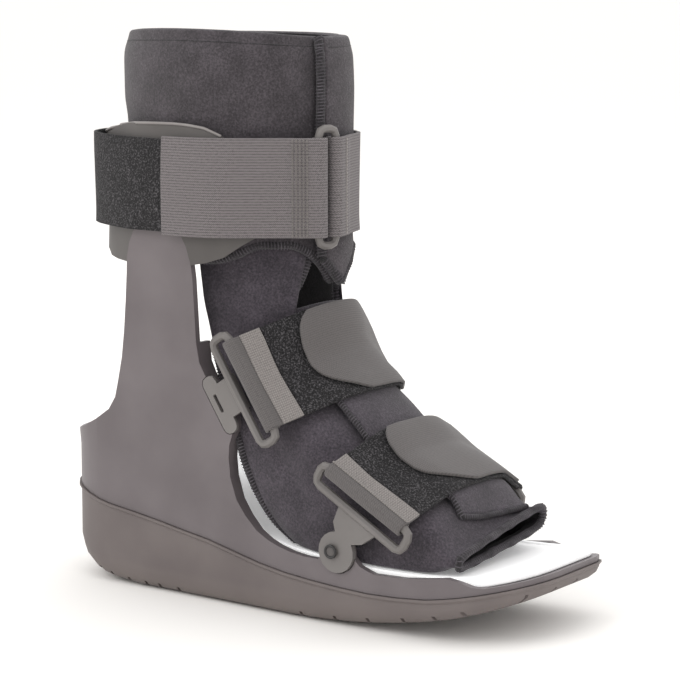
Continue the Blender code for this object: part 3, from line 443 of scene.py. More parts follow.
def sheet_object(name: str, columns: int, rows: int, surface: Callable[[float, float], Vector],
                 size_mm: tuple[float, float], material: Material, thick: float,
                 outward: Callable[[Vector], Vector], levels: int = 1, ring: bool = False,
                 wall_share: Callable[[float, float], float] | None = None,
                 lining: Material | None = None) -> Object:
    """Bend a grid over a surface, and give it thickness on its inner side.

    Args:
        name: The object's name.
        columns: Faces along the sheet.
        rows: Faces across the sheet.
        surface: Gives the outer face's point at two shares from 0 to 1.
        size_mm: The flat sheet's length and width, for its UVs.
        material: Its finish.
        thick: The sheet's thickness.
        outward: Gives a direction that points off the outer face at a point.
        levels: Subdivision levels.
        ring: True where the two ends meet.
        wall_share: Gives the share of the thickness at two shares from 0 to 1.
        lining: The finish of its inner face, if it has one of its own.

    Returns:
        The new object.
    """
    bm = bmesh.new()
    layer = bm.loops.layers.uv.new("Strap")
    weight = bm.verts.layers.deform.new("Wall") if wall_share else None
    bmesh.ops.create_grid(bm, x_segments=columns, y_segments=rows, size=0.5)
    for face in bm.faces:
        for loop in face.loops:
            spot = loop.vert.co
            loop[layer].uv = ((spot.x + 0.5) * size_mm[0], (spot.y + 0.5) * size_mm[1])
    for vert in bm.verts:
        s, t = vert.co.x + 0.5, vert.co.y + 0.5
        if wall_share:
            vert[weight][0] = wall_share(s, t)
        vert.co = surface(s, t)
    if ring:
        bmesh.ops.remove_doubles(bm, verts=bm.verts, dist=0.01 * MM)
    bm.normal_update()
    votes = sum(math.copysign(1, face.normal.dot(outward(face.calc_center_median()))) for face in bm.faces)
    if votes < 0:
        bmesh.ops.reverse_faces(bm, faces=bm.faces)
    obj = new_object(name, bm, material, math.pi)
    solid = obj.modifiers.new("Thickness", "SOLIDIFY")
    solid.thickness = thick
    solid.offset = -1.0
    solid.use_even_offset = False
    if lining:
        obj.data.materials.append(lining)
        solid.material_offset = 1
    if wall_share:
        obj.vertex_groups.new(name="Wall")
        solid.vertex_group = "Wall"
    if levels:
        smooth = obj.modifiers.new("Smooth", "SUBSURF")
        smooth.levels = smooth.render_levels = levels
    return obj


def run_lengths(points: Sequence[Vector]) -> list[float]:
    """Distances from a line's start to each of its points."""
    return list(itertools.accumulate(((b - a).length for a, b in zip(points, points[1:])), initial=0.0))


def search_trees(*objects: Object) -> list[BVHTree]:
    """One search tree for each of some finished pieces, with their modifiers."""
    bpy.context.view_layer.update()
    graph = bpy.context.evaluated_depsgraph_get()
    return [BVHTree.FromObject(obj, graph) for obj in objects]


def smooth_step(t: float) -> float:
    """Ease a share from 0 to 1, and hold it beyond."""
    t = min(1.0, max(0.0, t))
    return t * t * (3 - 2 * t)


def lerp_table(rows: Sequence[Sequence[float]], key: float, column: int) -> float:
    """Read a table whose first column grows, with an eased curve between rows.

    Args:
        rows: The table.
        key: The value of its first column.
        column: The column to read.

    Returns:
        The value there.
    """
    keys = [row[0] for row in rows]
    if key <= keys[0]:
        return rows[0][column]
    if key >= keys[-1]:
        return rows[-1][column]
    i = bisect.bisect_right(keys, key) - 1
    steps = [b - a for a, b in zip(keys, keys[1:])]
    ys = [row[column] for row in rows]
    rises = [(b - a) / s for a, b, s in zip(ys, ys[1:], steps)]
    slopes = [rises[0]] + [0.0 if a * b <= 0 else 2 * a * b / (a + b) for a, b in zip(rises, rises[1:])] + [rises[-1]]
    t = (key - keys[i]) / steps[i]
    return (ys[i] + t * t * (3 - 2 * t) * (ys[i + 1] - ys[i]) + t * (1 - t) ** 2 * steps[i] * slopes[i]
            + t * t * (t - 1) * steps[i] * slopes[i + 1])


def superoval(turn: float, half: float, front: float, back: float, top: float, sole: float) -> tuple[float, float]:
    """Forward and sideways reach of a rounded section.

    Args:
        turn: Angle from the front, in radians.
        half: Half its width.
        front: Its reach to the front.
        back: Its reach to the back.
        top: Squareness of its front half, 2 for round.
        sole: Squareness of its back half.

    Returns:
        The reach ahead and aside.
    """
    c, s = math.cos(turn), math.sin(turn)
    power = 2 / (top if c >= 0 else sole)
    return (front if c >= 0 else -back) * abs(c) ** power, math.copysign(half * abs(s) ** power, s)


def ripple(point: Vector, size_mm: float, seed: float) -> float:
    """Smooth noise from -1 to 1 at a place, with waves of a size and a seed that shifts them."""
    return noise.noise(point * (1000 / size_mm) + Vector((seed, seed * 1.7, -seed)))


@dataclass
class EdgeThread:
    """A thread laid along a path, or wound round it as an overlock stitch.

    Attributes:
        name: The piece's name.
        path: The path's points.
        thread: Radius of the thread.
        reach: Radius of the winding, or 0 for a thread that lies along the path.
        pitch: Distance between stitches, or between the points of a laid thread.
    """

    name: str
    path: list[Vector]
    thread: float = 0.32 * MM
    reach: float = 0.0
    pitch: float = 2.0 * MM

    def points(self) -> list[Vector]:
        """The thread's own points."""
        lengths = run_lengths(self.path)
        per_turn = 7 if self.reach else 1
        count = max(8, int(lengths[-1] / self.pitch) * per_turn)
        made = []
        for i in range(count + 1):
            s = lengths[-1] * i / count
            k = min(len(lengths) - 2, max(0, bisect.bisect_right(lengths, s) - 1))
            run = self.path[k + 1] - self.path[k]
            spot = self.path[k] + run * ((s - lengths[k]) / max(1e-9, run.length))
            if self.reach:
                run.normalize()
                aside = run.cross(Vector((0.31, 0.17, 0.93))).normalized()
                angle = math.tau * i / per_turn
                wobble = self.reach * (1 + 0.12 * math.sin(i * 1.7))
                spot = spot + wobble * (math.cos(angle) * aside + math.sin(angle) * run.cross(aside))
            made.append(spot)
        return made

    def build(self, material: Material, slot: str) -> None:
        """Make the thread in a finish, and place it on the boot."""
        curve = bpy.data.curves.new(self.name, "CURVE")
        curve.dimensions = "3D"
        curve.bevel_depth = self.thread
        curve.bevel_resolution = 1 if self.reach else 4
        curve.use_fill_caps = True
        spline = curve.splines.new("POLY")
        made = self.points()
        spline.points.add(len(made) - 1)
        for spot, point in zip(made, spline.points):
            point.co = (*spot, 1.0)
        curve.materials.append(material)
        place_piece(link(bpy.data.objects.new(self.name, curve)), slot)


def bind_edge(name: str, path: list[Vector], radius: float, wardrobe: Wardrobe) -> None:
    """Bind an edge of the liner: a soft rolled edge with fine stitches over it.

    Args:
        name: The start of the pieces' names.
        path: The edge's middle line.
        radius: Radius of the rolled edge.
        wardrobe: The boot's finishes.
    """
    EdgeThread(name + "_binding", path, radius).build(wardrobe["binding"], "liner")
    stitch = EdgeThread(name + "_overlock", path, reach=radius + 0.1 * MM, pitch=1.6 * MM)
    stitch.build(wardrobe["thread"], "liner")


# Rigid pieces

# Node, the ending of its piece's name, finish, slot and rounding of the edges
RIGID = (
    ("outsole", "rubber", "outsole", "outsole", 0.35 * MM),
    ("shell", "tray", "shell", "shell", 0.5 * MM),
    ("footbed", "foam", "foam", "footbed", 0.9 * MM),
    ("cuff", "shell", "cuff", "cuff", 0.8 * MM),
    *((f"{kind}_{side.word}", *dress) for side in Side for kind, *dress in (
        ("instep_bracket", "clip", "bracket", "bracket", 0.25 * MM),
        ("toe_bracket", "clip", "bracket", "bracket", 0.25 * MM),
        ("toe_rivet", "pin", "rivet_head", "rivet", 0.3 * MM),
    )),
    ("top_ring", "loop", "bracket", "bracket", 0.0),
)


def build_rigid(wardrobe: Wardrobe) -> dict[str, Object]:
    """Copy the rigid solids with softened edges, and add the paler tube on the cuff's rim, a painted highlight, and
    the rivets' rings.

    Args:
        wardrobe: The boot's finishes.

    Returns:
        The copies by their node.
    """
    made = {}
    for node, ending, finish, slot, bevel in RIGID:
        obj = copy_node(node, f"{node}_{ending}", wardrobe[finish], bevel)
        made[node] = place_piece(obj, slot, [node])
        if node == "cuff":
            # A paler tube along the cuff's rim: its colour is a painted highlight on the rim's edge
            EdgeThread("cuff_bead", cuff_rim(), 0.8 * MM).build(wardrobe["bead"], "cuff")
        if slot == "rivet":
            spots = [vert.co for vert in obj.data.vertices]
            centre = sum(spots, Vector()) / len(spots)
            centre.y = math.copysign(max(abs(spot.y) for spot in spots), centre.y)
            turns = [math.tau * i / 32 for i in range(33)]
            circle = [centre + 3.0 * MM * Vector((math.cos(turn), 0.0, math.sin(turn))) for turn in turns]
            EdgeThread(node + "_ring", circle, 0.7 * MM, pitch=0.6 * MM).build(wardrobe["rivet"], "rivet")
    return made


def cuff_rim() -> list[Vector]:
    """The points of the cuff's upper rim, from one end of the cuff to the other."""
    tops: dict[int, Vector] = {}
    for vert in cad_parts["cuff"].data.vertices:
        spot = vert.co
        turn = int(math.degrees(math.atan2(spot.y, LEG_AXIS_X - spot.x)) // 6)
        if spot.z > STRAP_LEVEL + 20 * MM and (turn not in tops or spot.z > tops[turn].z + 0.01 * MM):
            tops[turn] = spot.copy()
    return [tops[turn] for turn in sorted(tops)]


# Soft pieces


@dataclass
class LegWrap:
    """The padded wrap round the lower leg, whose front flap overlaps.

    Attributes:
        wardrobe: The boot's finishes.
        wall: Thickness of the padding.
        step: How far the outer flap stands over the inner one.
        girth: Level over the boot's height, then half width, front and back reach in metres.
        hem: Angle from the front, then the lower edge's level over the boot's height.
    """

    wardrobe: Wardrobe
    wall: float = 5.0 * MM
    step: float = 5.6 * MM
    girth: tuple = (
        (0.330, 0.0430, 0.0610, 0.0686), (0.560, 0.0460, 0.0610, 0.0648), (0.690, 0.0475, 0.0584, 0.0622),
        (0.845, 0.0495, 0.0590, 0.0635), (0.890, 0.0505, 0.0590, 0.0655), (0.955, 0.0508, 0.0584, 0.0658),
        (0.985, 0.0496, 0.0571, 0.0644), (1.000, 0.0480, 0.0550, 0.0622),
    )
    hem: tuple = (
        (0, 0.570), (12, 0.610), (20, 0.628), (32, 0.640), (48, 0.640), (62, 0.622), (75, 0.612), (148, 0.612),
        (155, 0.560), (161, 0.420), (168, 0.368), (180, 0.360),
    )
    obj: Object = field(init=False)

    def low(self, turn: float) -> float:
        """Height of the lower edge at an angle in degrees."""
        return BOOT_HEIGHT * lerp_table(self.hem, abs((turn + 180) % 360 - 180), 1)

    def point(self, turn: float, z: float, lift: float = 0.0) -> Vector:
        """A place on the outside, by its angle from the front (12 to -373 degrees), height and lift."""
        level = z / BOOT_HEIGHT
        lift += self.step * smooth_step((-325 - turn) / 20)
        half, front, back = (lerp_table(self.girth, level, k) + lift for k in (1, 2, 3))
        ahead, aside = superoval(math.radians(turn), half, front, back, 2, 2)
        return Vector((LEG_AXIS_X + ahead, aside, z))

    def surface(self, s: float, t: float) -> Vector:
        """The outer face with its soft hollows and its hem, at shares of its way round and height."""
        turn = 12 - 385 * s + (4.5 * max(0.0, t - 0.55) if s > 0.96 else 0.0)
        low = self.low(turn)
        crest = BOOT_HEIGHT + 3.5 * MM * max(0.0, -math.sin(math.radians(turn))) ** 1.5
        z = low + t * (crest - low)
        base = self.point(turn, z)
        hem = math.exp(-((z - crest + 6.0 * MM) / (1.5 * MM)) ** 2)
        lift = -0.55 * MM + 0.5 * MM * ripple(base, 34, 3.1) - 0.7 * MM * hem
        lift -= 0.5 * MM * max(0.0, ripple(base, 16, 9.4)) * (1 if z < 185 * MM else 0.3)
        return self.point(turn, z, lift)

    def build(self) -> None:
        """Make the wrap, its bound edges and its seam."""
        def away(spot: Vector) -> Vector:
            return Vector((spot.x - LEG_AXIS_X, spot.y, 0))

        self.obj = sheet_object("leg_wrap", 150, 44, self.surface, (370, 110), self.wardrobe["cloth"],
                                self.wall - 0.6 * MM, away, lining=self.wardrobe["lining"])
        pad_piece(self.obj, "liner_leg")
        edge = [self.surface(1.0, 0.01 + 0.98 * i / 40) for i in range(41)]
        inner = Vector((0.9, 0.2, 0.0)) * -self.wall / 2
        bind_edge("leg_flap", [spot + inner for spot in edge], 2.3 * MM, self.wardrobe)
        lower = []
        for i in range(200):
            spot = self.surface(0.03 + 0.97 * i / 199, 0.0)
            lower.append(spot - Vector((spot.x - LEG_AXIS_X, spot.y, 0)).normalized() * self.wall * 0.45)
        bind_edge("leg_hem", lower, 2.6 * MM, self.wardrobe)
        seam = []
        for i in range(161):
            share = 0.005 + 0.985 * i / 160
            seam.append(self.surface(share, 1 - 6.0 * MM / (BOOT_HEIGHT - self.low(12 - 385 * share))))
        EdgeThread("leg_top_seam", seam, 0.4 * MM, pitch=2.3 * MM).build(self.wardrobe["binding"], "liner")


@dataclass
class FootWrap:
    """The padded wrap round the ankle and foot, open at the heel, ankle and toe, and its top flap.

    Attributes:
        wardrobe: The boot's finishes.
        wall: Thickness of the padding.
        flap_wall: Thickness of the flap.
        sections: Place, x, z, tilt in degrees, half width, front and back reach, squareness above and below.
        starts: Angle from the top line, then the place where the wrap starts.
        footbed: x over the sole's length from the heel, then the footbed's height.
    """

    wardrobe: Wardrobe
    wall: float = 5.0 * MM
    flap_wall: float = 3.0 * MM
    sections: tuple = (
        (0, -0.0483, 0.1920, 0.0, 0.0385, 0.0521, 0.0508, 2.0, 2.0),
        (1, -0.0462, 0.1650, 6.0, 0.0390, 0.0560, 0.0559, 2.0, 2.0),
        (2, -0.0371, 0.1351, 18.0, 0.0386, 0.0478, 0.0559, 2.2, 2.2),
        (3, -0.0193, 0.1064, 31.5, 0.0415, 0.0387, 0.0508, 2.3, 2.8),
        (4, 0.0187, 0.0800, 45.0, 0.0445, 0.0305, 0.0457, 2.4, 4.5),
        (5, 0.0576, 0.0510, 60.0, 0.0445, 0.0279, 0.0356, 2.6, 6.0),
        (6, 0.0927, 0.0461, 75.0, 0.0440, 0.0188, 0.0254, 2.5, 6.0),
        (7, 0.1126, 0.0429, 86.0, 0.0405, 0.0095, 0.0178, 2.4, 5.0),
    )
    starts: tuple = (
        (0, 1.8), (33, 1.8), (36, 0.0), (88, 0.0), (93, 2.80), (101, 3.44), (120, 3.90), (148, 4.35), (180, 4.65),
    )
    footbed: tuple = (
        (0.0, 0.0580), (0.144, 0.0550), (0.267, 0.0500), (0.386, 0.0425), (0.479, 0.03725), (0.554, 0.0340),
        (0.677, 0.0318), (0.738, 0.0312), (0.814, 0.0314), (0.896, 0.0322), (1.0, 0.0332),
    )
    obj: Object = field(init=False)
    flap: Object = field(init=False)

    def point(self, turn: float, place: float, lift: float = 0.0) -> Vector:
        """A place on the outside, by its angle from the top line, its section and its lift."""
        x, z, tilt, half, front, back, top, sole = (lerp_table(self.sections, place, k) for k in range(1, 9))
        ahead, aside = superoval(math.radians(turn), half + lift, front + lift, back + lift, top, sole)
        spot = Vector((x + ahead * math.cos(math.radians(tilt)), aside, z + ahead * math.sin(math.radians(tilt))))
        flat = self.toe_press(place)
        if flat:
            spot.z += flat * (self.toe_level(turn, aside, lift) - spot.z)
        share = (spot.x + SOLE_LENGTH / 2) / SOLE_LENGTH
        spot.z = max(spot.z, lerp_table(self.footbed, share, 1) + 1.2 * MM)
        return spot

    @staticmethod
    def toe_press(place: float) -> float:
        """How far the wrap is pressed flat at a place, from 0 at the toe strap to 1 at the mouth."""
        return smooth_step((place - 5.9) / 1.1)

    @staticmethod
    def toe_level(turn: float, aside: float, lift: float) -> float:
        """Height of the flattened mouth, which rises from the near side to the far one."""
        top = 48.1 * MM + 0.17 * aside
        bottom = 39.9 * MM + 0.10 * aside
        c = math.cos(math.radians(turn))
        full = abs(c) ** 0.4
        middle = (top + bottom) / 2
        return middle + full * ((top if c >= 0 else bottom) - middle) + math.copysign(full * lift, c)

    def start(self, turn: float) -> float:
        """Place where the wrap starts at an angle in degrees."""
        return lerp_table(self.starts, abs(turn), 1)

    def row(self, turn: float, t: float) -> float:
        """Place at a share of the wrap's length, evened out toward the toe."""
        start = self.start(turn)
        return 1.8 + 5.2 * t + (start - 1.8) * (1 - t) ** (3 if start < 1.8 else 1)

    def surface(self, s: float, t: float) -> Vector:
        """The outer face with soft folds, at shares of its way round from the sole and of its length."""
        turn = -180 + 360 * s
        place = self.row(turn, t)
        lean = 27.0 * max(0.0, 1 - place / 1.6) * max(0.0, min(1.0, (84 - abs(turn)) / 48))
        bent = turn - math.copysign(lean, turn)
        base = self.point(bent, place)
        lift = -0.6 * MM + 0.6 * MM * ripple(base, 30, 5.2)
        creases = max(0.0, ripple(Vector((base.x, base.y * 0.5, base.z)), 13, 2.2))
        lift -= 1.2 * MM * creases * (1.0 if place < 3.2 else 0.5)
        return self.point(bent, place, lift)

    def flap_surface(self, s: float, t: float) -> Vector:
        """The flap's outer face, at shares of its width from the near edge and of its length."""
        edge = -24.0 + 3.5 * math.sin(9 * t) + 6 * max(0.0, t - 0.8)
        turn = edge + (34.0 - edge) * s
        place = 1.95 + (4.35 + 0.55 * s) * t
        base = self.point(turn, place)
        wave = 0.5 * MM * ripple(base, 22, 7.7) + 0.35 * MM
        return self.point(turn, place, self.flap_wall + 1.0 * MM + wave * min(1.0, 4 * s * (1 - t) + 0.25))

    def wall_share(self, s: float, t: float) -> float:
        """Share of the full wall, which thins toward the pressed mouth."""
        return 1 - 0.68 * self.toe_press(self.row(-180 + 360 * s, t))

    def build(self) -> None:
        """Make the wrap, the flap and their overlocked edges."""
        def away(spot: Vector) -> Vector:
            core = Vector((LEG_AXIS_X, 0, spot.z)) if spot.z > 110 * MM else Vector((spot.x - 10 * MM, 0, 60 * MM))
            return spot - core

        self.obj = sheet_object("foot_wrap", 140, 48, self.surface, (270, 190), self.wardrobe["foot_cloth"],
                                self.wall - 0.8 * MM, away, ring=True, wall_share=self.wall_share,
                                lining=self.wardrobe["lining"])
        pad_piece(self.obj, "liner_foot")
        self.flap = sheet_object("foot_flap", 30, 64, self.flap_surface, (45, 150), self.wardrobe["foot_cloth"],
                                 self.flap_wall, away)
        pad_piece(self.flap, "liner_flap")
        mouth = [self.point(-180 + 360 * i / 120, 7.0, -0.9 * MM) + Vector((0.6 * MM, 0, 0)) for i in range(121)]
        bind_edge("mouth", mouth, 1.8 * MM, self.wardrobe)
        for side in reversed(Side):
            turns = [side.value * (91.5 + 88.5 * i / 60) / 360 for i in range(61)]
            edge = [self.surface(0.5 + turn, 0.0) + Vector((2.0 * MM, 0, 0)) for turn in turns]
            bind_edge(f"heel_{side.word}", edge, 2.1 * MM, self.wardrobe)
        for side in Side:
            edge = [self.surface(0.5 + side.value * (32.9 + 3.2 * i / 50) / 360, 0.0) for i in range(51)]
            within = Vector((-0.6, -0.8 * side.value, 0.0)) * self.wall / 2
            bind_edge(f"ankle_{side.word}", [spot + within for spot in edge], 2.0 * MM, self.wardrobe)
        side = [self.flap_surface(0.0, i / 70) for i in range(71)]
        front = [self.flap_surface(i / 20, 1.0) for i in range(21)]
        drop = Vector((-0.4, 0.0, -0.9)) * self.flap_wall / 2
        bind_edge("flap", [spot + drop for spot in side + front], 1.45 * MM, self.wardrobe)


TabEnd = tuple[float, float]

# The tab's end: place across the strap from its upper edge, then its setback in millimetres
TAB_END: tuple[TabEnd, ...] = (
    (0.0, 9.0), (0.06, 5.0), (0.18, 1.6), (0.38, 0.0), (0.52, 0.0), (0.65, 1.8), (0.75, 5.5), (0.83, 10.5),
    (0.90, 16.5), (0.96, 22.0), (1.0, 27.0),
)


StrapRow = list[tuple[Vector, Vector]]


@dataclass
class StrapPath:
    """The course of a strap: rows across its width, each a line of inner points and outward directions.

    Attributes:
        rows: For each row, its points and directions.
    """

    rows: list[StrapRow]
    lengths: list[list[float]] = field(init=False)

    def __post_init__(self) -> None:
        """Measure each row."""
        self.lengths = [run_lengths([spot for spot, _ in row]) for row in self.rows]

    def along(self, row: int, s: float) -> tuple[Vector, Vector]:
        """A point and direction on one row at a distance from its start."""
        run, line = self.lengths[row], self.rows[row]
        s = min(run[-1], max(0.0, s))
        k = min(len(run) - 2, max(0, bisect.bisect_right(run, s) - 1))
        t = (s - run[k]) / max(1e-9, run[k + 1] - run[k])
        return line[k][0].lerp(line[k + 1][0], t), line[k][1].lerp(line[k + 1][1], t).normalized()

    def at(self, s: float, across: float, lift: float) -> Vector:
        """A place over the strap, by its distance along, its share of the width and its lift."""
        place = across * (len(self.rows) - 1)
        i = min(len(self.rows) - 2, int(place))
        low, high = self.along(i, s), self.along(i + 1, s)
        t = place - i
        return low[0].lerp(high[0], t) + lift * low[1].lerp(high[1], t)

    def length(self) -> float:
        """Length of the middle row."""
        return self.lengths[len(self.rows) // 2][-1]

    def band(self, name: str, start: float, end: float, material: Material, slot: str,
             *nodes: str, lift: float = 0.0, thick: float = STRAP_THICK, edges: tuple[float, float] = (0.0, 1.0),
             end_shape: tuple[TabEnd, ...] = ()) -> Object:
        """Make a band on the course, and place it.

        Args:
            name: The piece's name.
            start: Distance where it starts.
            end: Distance where it ends.
            material: Its finish.
            slot: The record's material slot that it belongs to.
            nodes: The CAD nodes that it stands for.
            lift: Height of its inner face off the course.
            thick: Its thickness.
            edges: Where its two long edges lie across the course.
            end_shape: How far the start is set back across the strap.

        Returns:
            The new object.
        """
        width = edges[1] - edges[0]

        def surface(s: float, t: float) -> Vector:
            first = start + (lerp_table(end_shape, t, 1) * MM if end_shape else 0.0)
            spot = first + (end - first) * s
            place = self.at(spot, edges[0] + width * t, lift + thick)
            return place + self.along(len(self.rows) // 2, spot)[1] * WAVE_HEIGHT * ripple(place, 18, 4.4)

        def away(spot: Vector) -> Vector:
            return spot - Vector((LEG_AXIS_X, 0, spot.z)) if spot.z > 170 * MM else self.lean(spot)

        size = ((end - start) * 1000, width * STRAP_WIDTH * 1000)
        columns = max(4, int((end - start) / (1.6 * MM)))
        obj = sheet_object(name, columns, 22, surface, size, material, thick, away, levels=0)
        soften(obj, 0.3 * thick, 50)
        return place_piece(obj, slot, nodes)

    def lean(self, spot: Vector) -> Vector:
        """The outward direction of the course's nearest point."""
        row = self.rows[len(self.rows) // 2]
        return min(row, key=lambda item: (item[0] - spot).length)[1]


@dataclass
class Draper:
    """Lays straps over finished pieces, one ray at a time.

    Attributes:
        trees: Search trees of what lies under the strap.
        ray: Gives an axis point and a direction at a place across the strap and an angle.
    """

    trees: list[BVHTree]
    ray: Callable[[float, float], tuple[Vector, Vector]]

    def reach(self, w: float, angle: float, step: float) -> float:
        """Distance from the axis to the outermost piece near one corner, with a look to each side."""
        best = 0.0
        for row in (-0.5, 0.0, 0.5):
            for turn in (-0.5, 0.0, 0.5):
                axis, direction = self.ray(w + row * STRAP_WIDTH / 8, angle + turn * step)
                for tree in self.trees:
                    hit = tree.ray_cast(axis + direction * 0.2, -direction, 0.2)
                    if hit[0] is not None:
                        best = max(best, (hit[0] - axis).length)
        return best

    @staticmethod
    def taut(angles: list[float], reaches: list[float]) -> list[float]:
        """Bridge the dips of a row, given its growing angles and its distances from the axis."""
        pulled = list(reaches)
        for k in range(len(angles)):
            for i in range(k):
                for j in range(k + 1, len(angles)):
                    span = angles[j] - angles[i]
                    if span >= 2.8 or not reaches[i] or not reaches[j]:
                        continue
                    base = (reaches[i] * math.sin(angles[k] - angles[i])
                            + reaches[j] * math.sin(angles[j] - angles[k]))
                    pulled[k] = max(pulled[k], reaches[i] * reaches[j] * math.sin(span) / base)
        return pulled

    def line(self, w: float, angles: list[float], anchors: dict[int, float] | None = None) -> StrapRow:
        """One row of a strap.

        Args:
            w: Place across the strap.
            angles: Angles of its rays, growing or falling.
            anchors: Fixed distances by index, such as where it meets a bar.

        Returns:
            Inner points and outward directions.
        """
        step = abs(angles[1] - angles[0])
        order = 1 if angles[-1] > angles[0] else -1
        reaches = [self.reach(w, angle, step) + DRAPE_GAP for angle in angles]
        for index, value in (anchors or {}).items():
            reaches[index] = value
        pulled = self.taut([order * angle for angle in angles], reaches)
        eased = [pulled[0]] + [(a + 2 * b + c) / 4 if b >= r + 0.1 * MM else b for a, b, c, r in
                               zip(pulled, pulled[1:], pulled[2:], reaches[1:])] + [pulled[-1]]
        made = []
        for angle, reach in zip(angles, eased):
            axis, direction = self.ray(w, angle)
            made.append((axis + direction * max(reach, 0.0), direction))
        return made


def bend_round(bar: Vector, leave: Vector, out: Vector, target: Vector, radius: float,
               start: float = -math.pi / 3) -> StrapRow:
    """The fold of a strap round a bar.

    Args:
        bar: The bar's axis point.
        leave: The way the strap leaves.
        out: The way off the boot.
        target: The next point on the strap.
        radius: Radius of the strap's inner face.
        start: Angle where the fold's hidden end lies.

    Returns:
        Inner points and outward directions.
    """
    away = target - bar
    last = math.atan2(away.dot(out), away.dot(leave)) + math.acos(min(1.0, radius / away.length)) - math.tau
    made = []
    for i in range(13):
        angle = start + (last - start) * i / 12
        direction = math.cos(angle) * leave + math.sin(angle) * out
        made.append((bar + radius * direction, direction))
    return made


@dataclass
class FootStrap:
    """One strap over the foot, from bracket to bracket, with the tab that returns over it.

    Attributes:
        word: Its name.
        wardrobe: The boot's finishes.
        centre: The bracket's x and z.
        lean: The way the strap leaves, in degrees above the toe's direction.
        tab_from: Angle of the tab's round end, in degrees.
        block: Where the folded webbing's thick end starts and stops, from the bar.
        drop: How far the axis of its rays lies below the brackets' middles.
    """

    word: str
    wardrobe: Wardrobe
    centre: tuple[float, float]
    lean: float
    tab_from: float
    block: tuple[float, float]
    drop: float = 14.0 * MM

    def axes(self) -> tuple[Vector, Vector, Vector]:
        """The way the strap leaves, the way across it, and the point between its brackets."""
        lean = math.radians(self.lean)
        c, s = math.cos(lean), math.sin(lean)
        return Vector((c, 0, s)), Vector((s, 0, -c)), Vector((self.centre[0], 0, self.centre[1]))

    def ray(self, w: float, angle: float) -> tuple[Vector, Vector]:
        """An axis point and a direction across the foot."""
        rise, across, origin = self.axes()
        return origin + w * across - self.drop * rise, math.cos(angle) * rise + math.sin(angle) * Vector((0, 1, 0))

    def bar(self, side: Side) -> tuple[Vector, Vector]:
        """The middle of the bar that the strap folds round at one side, and its direction across."""
        d, t, origin = self.axes()
        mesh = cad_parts[f"{self.word}_bracket_{side.word}"].data
        spots = [v.co for v in mesh.vertices if abs((v.co - origin).dot(t)) < 27 * MM
                 and (v.co - origin).dot(d) > 4.0 * MM]
        low = [p for p in spots if (p - origin).dot(t) < -20 * MM]
        high = [p for p in spots if (p - origin).dot(t) > 20 * MM]
        ends = [sum(group, Vector()) / len(group) for group in (low, high)]
        run = (ends[1] - ends[0]).normalized()
        reach = max((p - origin).dot(d) for p in spots)
        middle = ends[0].lerp(ends[1], 0.5)
        middle += d * (reach - 2.3 * MM - (middle - origin).dot(d))
        middle += run * (-(middle - origin).dot(t) / run.dot(t))
        return middle, run

    def build(self, under: list[Object]) -> None:
        """Make the strap and its tab over the pieces under it."""
        draper = Draper(search_trees(*under), self.ray)
        rise, across, _ = self.axes()
        bars = [self.bar(side) for side in Side]
        rows = []
        for i in range(9):
            w = STRAP_WIDTH * (i / 8 - 0.5)
            axis = self.ray(w, 0)[0]
            spots = [middle + run * (w / run.dot(across)) for middle, run in bars]
            ends = []
            for side, spot in zip(Side, spots):
                top = spot + Vector((0, side.value * 2.7 * MM, 0))
                ends.append((math.atan2((top - axis).y, (top - axis).dot(rise)), (top - axis).length))
            angles = [ends[0][0] + (ends[1][0] - ends[0][0]) * k / 26 for k in range(27)]
            line = draper.line(w, angles, {0: ends[0][1], 26: ends[1][1]})[1:-1]
            near = bend_round(spots[0], rise, Vector((0, -1, 0)), line[0][0], BAR_FOLD)
            far = bend_round(spots[1], rise, Vector((0, 1, 0)), line[-1][0], BAR_FOLD)
            rows.append(near + line + far[::-1])
        path = StrapPath(rows)
        total = path.length()
        turn = BAR_FOLD * math.radians(150)
        w = self.wardrobe
        block_start, block_end = turn + self.block[0], turn + self.block[1]
        name = self.word + "_strap"
        strap = path.band(name + "_web", 0.0, block_end, w["tab"], "pile", name)
        pile = path.band(name + "_pile", block_end, total, w["pile"], "pile", name)
        path.band(name + "_block", block_start, block_end, w["block"], "pile", lift=STRAP_THICK, thick=0.7 * MM)
        self.build_tab(search_trees(strap, pile))

    def build_tab(self, trees: list[BVHTree]) -> None:
        """Make the tab, over the search trees of the strap."""
        draper = Draper(trees, self.ray)
        angles = [math.radians(-self.tab_from + (62 + self.tab_from) * k / 24) for k in range(25)]
        rows = [draper.line(STRAP_WIDTH * 0.97 * (i / 8 - 0.5), angles) for i in range(9)]
        path = StrapPath(rows)
        path.band(self.word + "_tab_web", 0.0, path.length(), self.wardrobe["tab"], "webbing", self.word + "_tab",
                  thick=TAB_THICK, end_shape=TAB_END)


